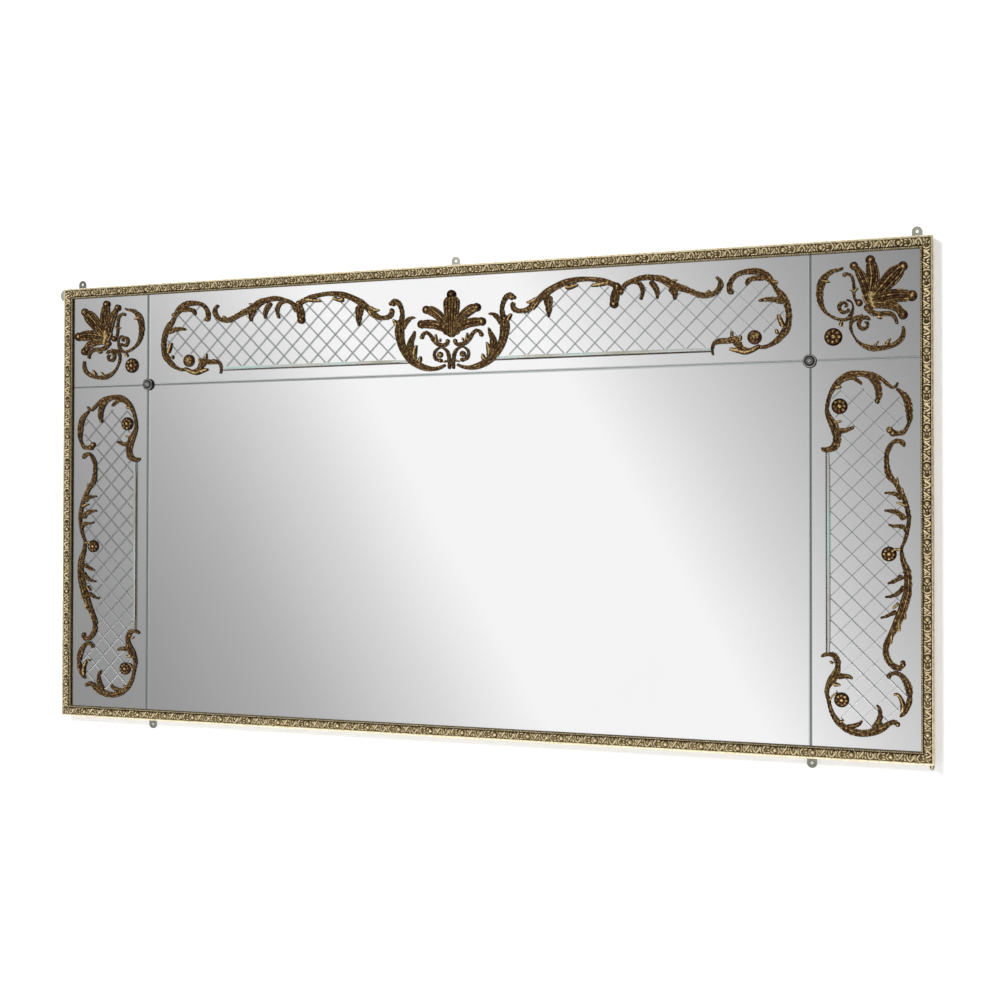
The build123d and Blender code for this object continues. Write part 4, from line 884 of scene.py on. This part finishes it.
# Strips of one repeat as (along, in from the outer edge, half width)
EMBOSSED = [
    [(3.0, 6.0, 1.0), (0.6, 9.0, 1.4), (0.0, 12.8, 1.6), (0.6, 16.5, 1.4), (3.0, 19.6, 1.0)],
    [(12.0, 6.0, 1.0), (14.5, 8.5, 1.7), (17.5, 11.5, 1.2)],
    [(12.0, 19.6, 1.0), (14.5, 17.0, 1.7), (17.5, 14.0, 1.2)],
    [(28.0, 5.6, 1.2), (31.5, 8.0, 1.7), (33.5, 12.8, 1.9), (31.5, 17.5, 1.7), (28.0, 20.0, 1.2)],
    [(39.0, 19.0, 1.4), (40.5, 13.5, 2.2), (44.5, 9.0, 2.2), (46.5, 6.0, 1.4)],
    [(46.0, 5.8, 1.2), (50.0, 8.5, 2.4), (52.5, 13.5, 2.2), (53.0, 19.0, 1.2)],
    [(56.0, 6.2, 1.4), (57.5, 9.5, 2.4), (58.5, 13.0, 1.2)],
    [(60.0, 20.0, 1.2), (63.5, 17.0, 2.4), (67.0, 12.0, 2.0), (69.5, 8.0, 1.2)],
    [(70.0, 6.5, 1.4), (72.5, 9.0, 2.0), (73.0, 12.5, 1.0)],
    [(64.0, 7.0, 1.2), (62.0, 10.5, 1.6), (60.0, 12.0, 0.8)],
    [(19.0, 6.5, 1.2), (22.5, 8.0, 1.6), (26.0, 7.0, 0.9)],
    [(19.5, 19.5, 0.9), (23.0, 18.0, 1.6), (26.5, 19.0, 1.2)],
    [(35.0, 6.5, 0.9), (38.0, 9.5, 1.7), (37.5, 15.0, 1.5), (35.5, 19.5, 0.8)],
    [(46.0, 19.5, 0.9), (48.0, 15.5, 1.7), (47.5, 12.0, 0.9)],
    [(55.5, 19.5, 1.1), (57.5, 17.0, 1.7), (58.5, 15.5, 0.8)],
    [(66.5, 19.5, 1.1), (69.0, 15.5, 1.5), (70.5, 12.0, 0.8)],
]
BOSSES = [(9.0, 12.8, 4.0, 2.6), (22.0, 12.8, 1.9, 2.4), (43.0, 15.0, 2.0, 1.8), (72.0, 17.0, 2.2, 2.0)]


def emboss_rise(half):
    """How far an embossed strip stands off the band."""
    return 0.9 + 0.55 * half


def bar_base(length, edge):
    """The plain sheet section, drawn on one mitre and extruded to the other."""
    bm = bmesh.new()
    ridge = bm.verts.layers.float.new("ridge")
    ring = []
    for u, y, high in SECTION:
        vert = bm.verts.new((-length / 2 + u, y, edge - u))
        vert[ridge] = high
        ring.append(vert)
    start = bm.faces.new(ring)
    grown = bmesh.ops.extrude_face_region(bm, geom=[start])["geom"]
    for vert in grown:
        if isinstance(vert, bmesh.types.BMVert):
            vert.co.x = -vert.co.x
    bmesh.ops.recalc_face_normals(bm, faces=bm.faces)
    bmesh.ops.scale(bm, vec=(MM, MM, MM), verts=bm.verts)
    return bm


def one_repeat():
    """The embossed shapes of one repeat, starting at x = 0 with the outer edge at z = 0."""
    bm = bmesh.new()
    bm.verts.layers.float.new("ridge")
    for points in EMBOSSED:
        strip(bm, [(s, -u, half * 1.5) for s, u, half in points], -31.9, emboss_rise, PLAIN, 1.6)
    for s, u, radius, height in BOSSES:
        knob(bm, s, -u, radius * 1.3, -32.2, height, 12, 1.0)
    mesh = bpy.data.meshes.new("repeat")
    bm.to_mesh(mesh)
    bm.free()
    return mesh


def mitre(bm, length, edge):
    """Cut a bar's embossing at both ends and close the cuts."""
    for way in (-1, 1):
        cut = bmesh.ops.bisect_plane(
            bm, geom=bm.verts[:] + bm.edges[:] + bm.faces[:], dist=1e-7,
            plane_co=(way * length / 2 * MM, 0, edge * MM), plane_no=(way, 0, -1), clear_outer=True,
        )
        open_edges = [g for g in cut["geom_cut"] if isinstance(g, bmesh.types.BMEdge)]
        bmesh.ops.holes_fill(bm, edges=open_edges, sides=0)


REPEAT_MESH = one_repeat()


def bar(length, edge):
    """A whole bar in the place of the top one."""
    relief = bmesh.new()
    relief.verts.layers.float.new("ridge")
    count = math.ceil(length / REPEAT)
    first = -count * REPEAT / 2
    for k in range(count):
        before = len(relief.verts)
        relief.from_mesh(REPEAT_MESH)
        relief.verts.ensure_lookup_table()
        shift = ((first + k * REPEAT) * MM, 0, edge * MM)
        bmesh.ops.translate(relief, vec=shift, verts=relief.verts[before:])
    span = length - 2 * PEARL_INSET
    pearls = round(span / PEARL_PITCH)
    for k in range(pearls + 1):
        x = -span / 2 + span * k / pearls
        knob(relief, x, edge - PEARL_INSET, 1.75, -32.0, 2.0, 6, 1.0)
    mitre(relief, length, edge)
    merge_in(relief, bar_base(length, edge))
    return relief


BARS = {"top": (0, 2 * HALF_W, HALF_H), "right": (90, 2 * HALF_H, HALF_W),
        "bottom": (180, 2 * HALF_W, HALF_H), "left": (270, 2 * HALF_H, HALF_W)}
for side, (turn, length, edge) in BARS.items():
    bm = bar(length, edge)
    if side == "right":
        # A bent tab of the fillet stands 9 mm past the mitre at this bar's lower end
        strip(bm, [(length / 2 - 3, edge - 4.5, 4.4), (length / 2 + 4, edge - 5.0, 4.4),
                   (length / 2 + 9, edge - 6.0, 2.6)], -30.2, lambda half: 2.2, PLAIN, 2.0)
    bmesh.ops.transform(bm, matrix=Matrix.Rotation(math.radians(turn), 4, "Y"), verts=bm.verts)
    piece = finish_piece(bm, f"moulding_{side}", pressed_brass, 40)
    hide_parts(f"brass_moulding_{side}")
    print(piece.name, "faces:", len(piece.data.polygons))

# %% [markdown]
# Beside each beaded line the real glass carries a cut border about 6 mm wide. Here it is a thin strip
# laid on the glass, with a low ridge along it. Frosted glass over silver looks like dull metal, so
# its shader is mostly metal, paler than the pane and slightly green.

# %% Cut borders
frosted, tree, out = new_material("cut_border")
shader = tree.nodes.new("ShaderNodeBsdfPrincipled")
shader.inputs["Roughness"].default_value = 0.22
shader.inputs["Metallic"].default_value = 0.75
coords = tree.nodes.new("ShaderNodeTexCoord")
noise = tree.nodes.new("ShaderNodeTexNoise")
noise.inputs["Scale"].default_value = 7.0
tree.links.new(coords.outputs["Object"], noise.inputs["Vector"])
tree.links.new(ramp(tree, noise.outputs["Fac"], [
    (0.35, (0.34, 0.33, 0.25)), (0.5, (0.50, 0.50, 0.46)), (0.66, (0.46, 0.62, 0.58)),
]), shader.inputs["Base Color"])
tree.links.new(shader.outputs[0], out.inputs["Surface"])


def border(name, points):
    """A low ridge along a straight run."""
    bm = bmesh.new()
    bm.verts.layers.float.new("ridge")
    strip(bm, points, GLASS_Y + 0.05, lambda half: 0.45, PLAIN, 60.0)
    return finish_piece(bm, name, frosted)


for way, side in ((1, "right"), (-1, "left")):
    border(f"cut_border_top_{side}", [(way * 103, 315.0, 3.0), (way * 579, 315.0, 3.0)])
    border(f"cut_border_side_{side}", [(way * 821.0, -312, 2.9), (way * 821.0, 95, 2.9)])
print("cut borders: 4")

# %% [markdown]
# The remaining solids keep their shapes and only get finishes. Rails have their grain along X and
# stiles along Z. Three of the ears get a paler plate finish than the others.

# %% Finishes of the carried-over solids
ALONG_X = ("rail", "core_top", "core_bottom")
for name, node in nodes.items():
    if name.startswith("pane_"):
        finish = glass
    elif name.startswith("chassis_dowels"):
        finish = beech
    elif name.startswith(("chassis", "frame_core")):
        finish = pine_along_x if any(word in name for word in ALONG_X) else pine_along_z
    elif name == "backing_panel":
        finish = plywood
    elif name == "felt_pads" or "washer" in name:
        finish = felt
    elif name == "setting_blocks" or "sleeve" in name:
        finish = rubber
    elif name.startswith("rosette") or name == "moulding_pins":
        finish = dark_brass
    elif name in ("plate_top_right", "plate_top_centre", "plate_side_left"):
        finish = pale_plate
    elif name.startswith("plate_") and name != "plate_screws":
        finish = dull_plate
    elif name.endswith("screws"):
        finish = steel
    elif name.startswith("gilding"):
        finish = gilding
    else:
        finish = pressed_brass
    for material_slot in node.material_slots:
        material_slot.material = finish
print("finished solids:", len(nodes))
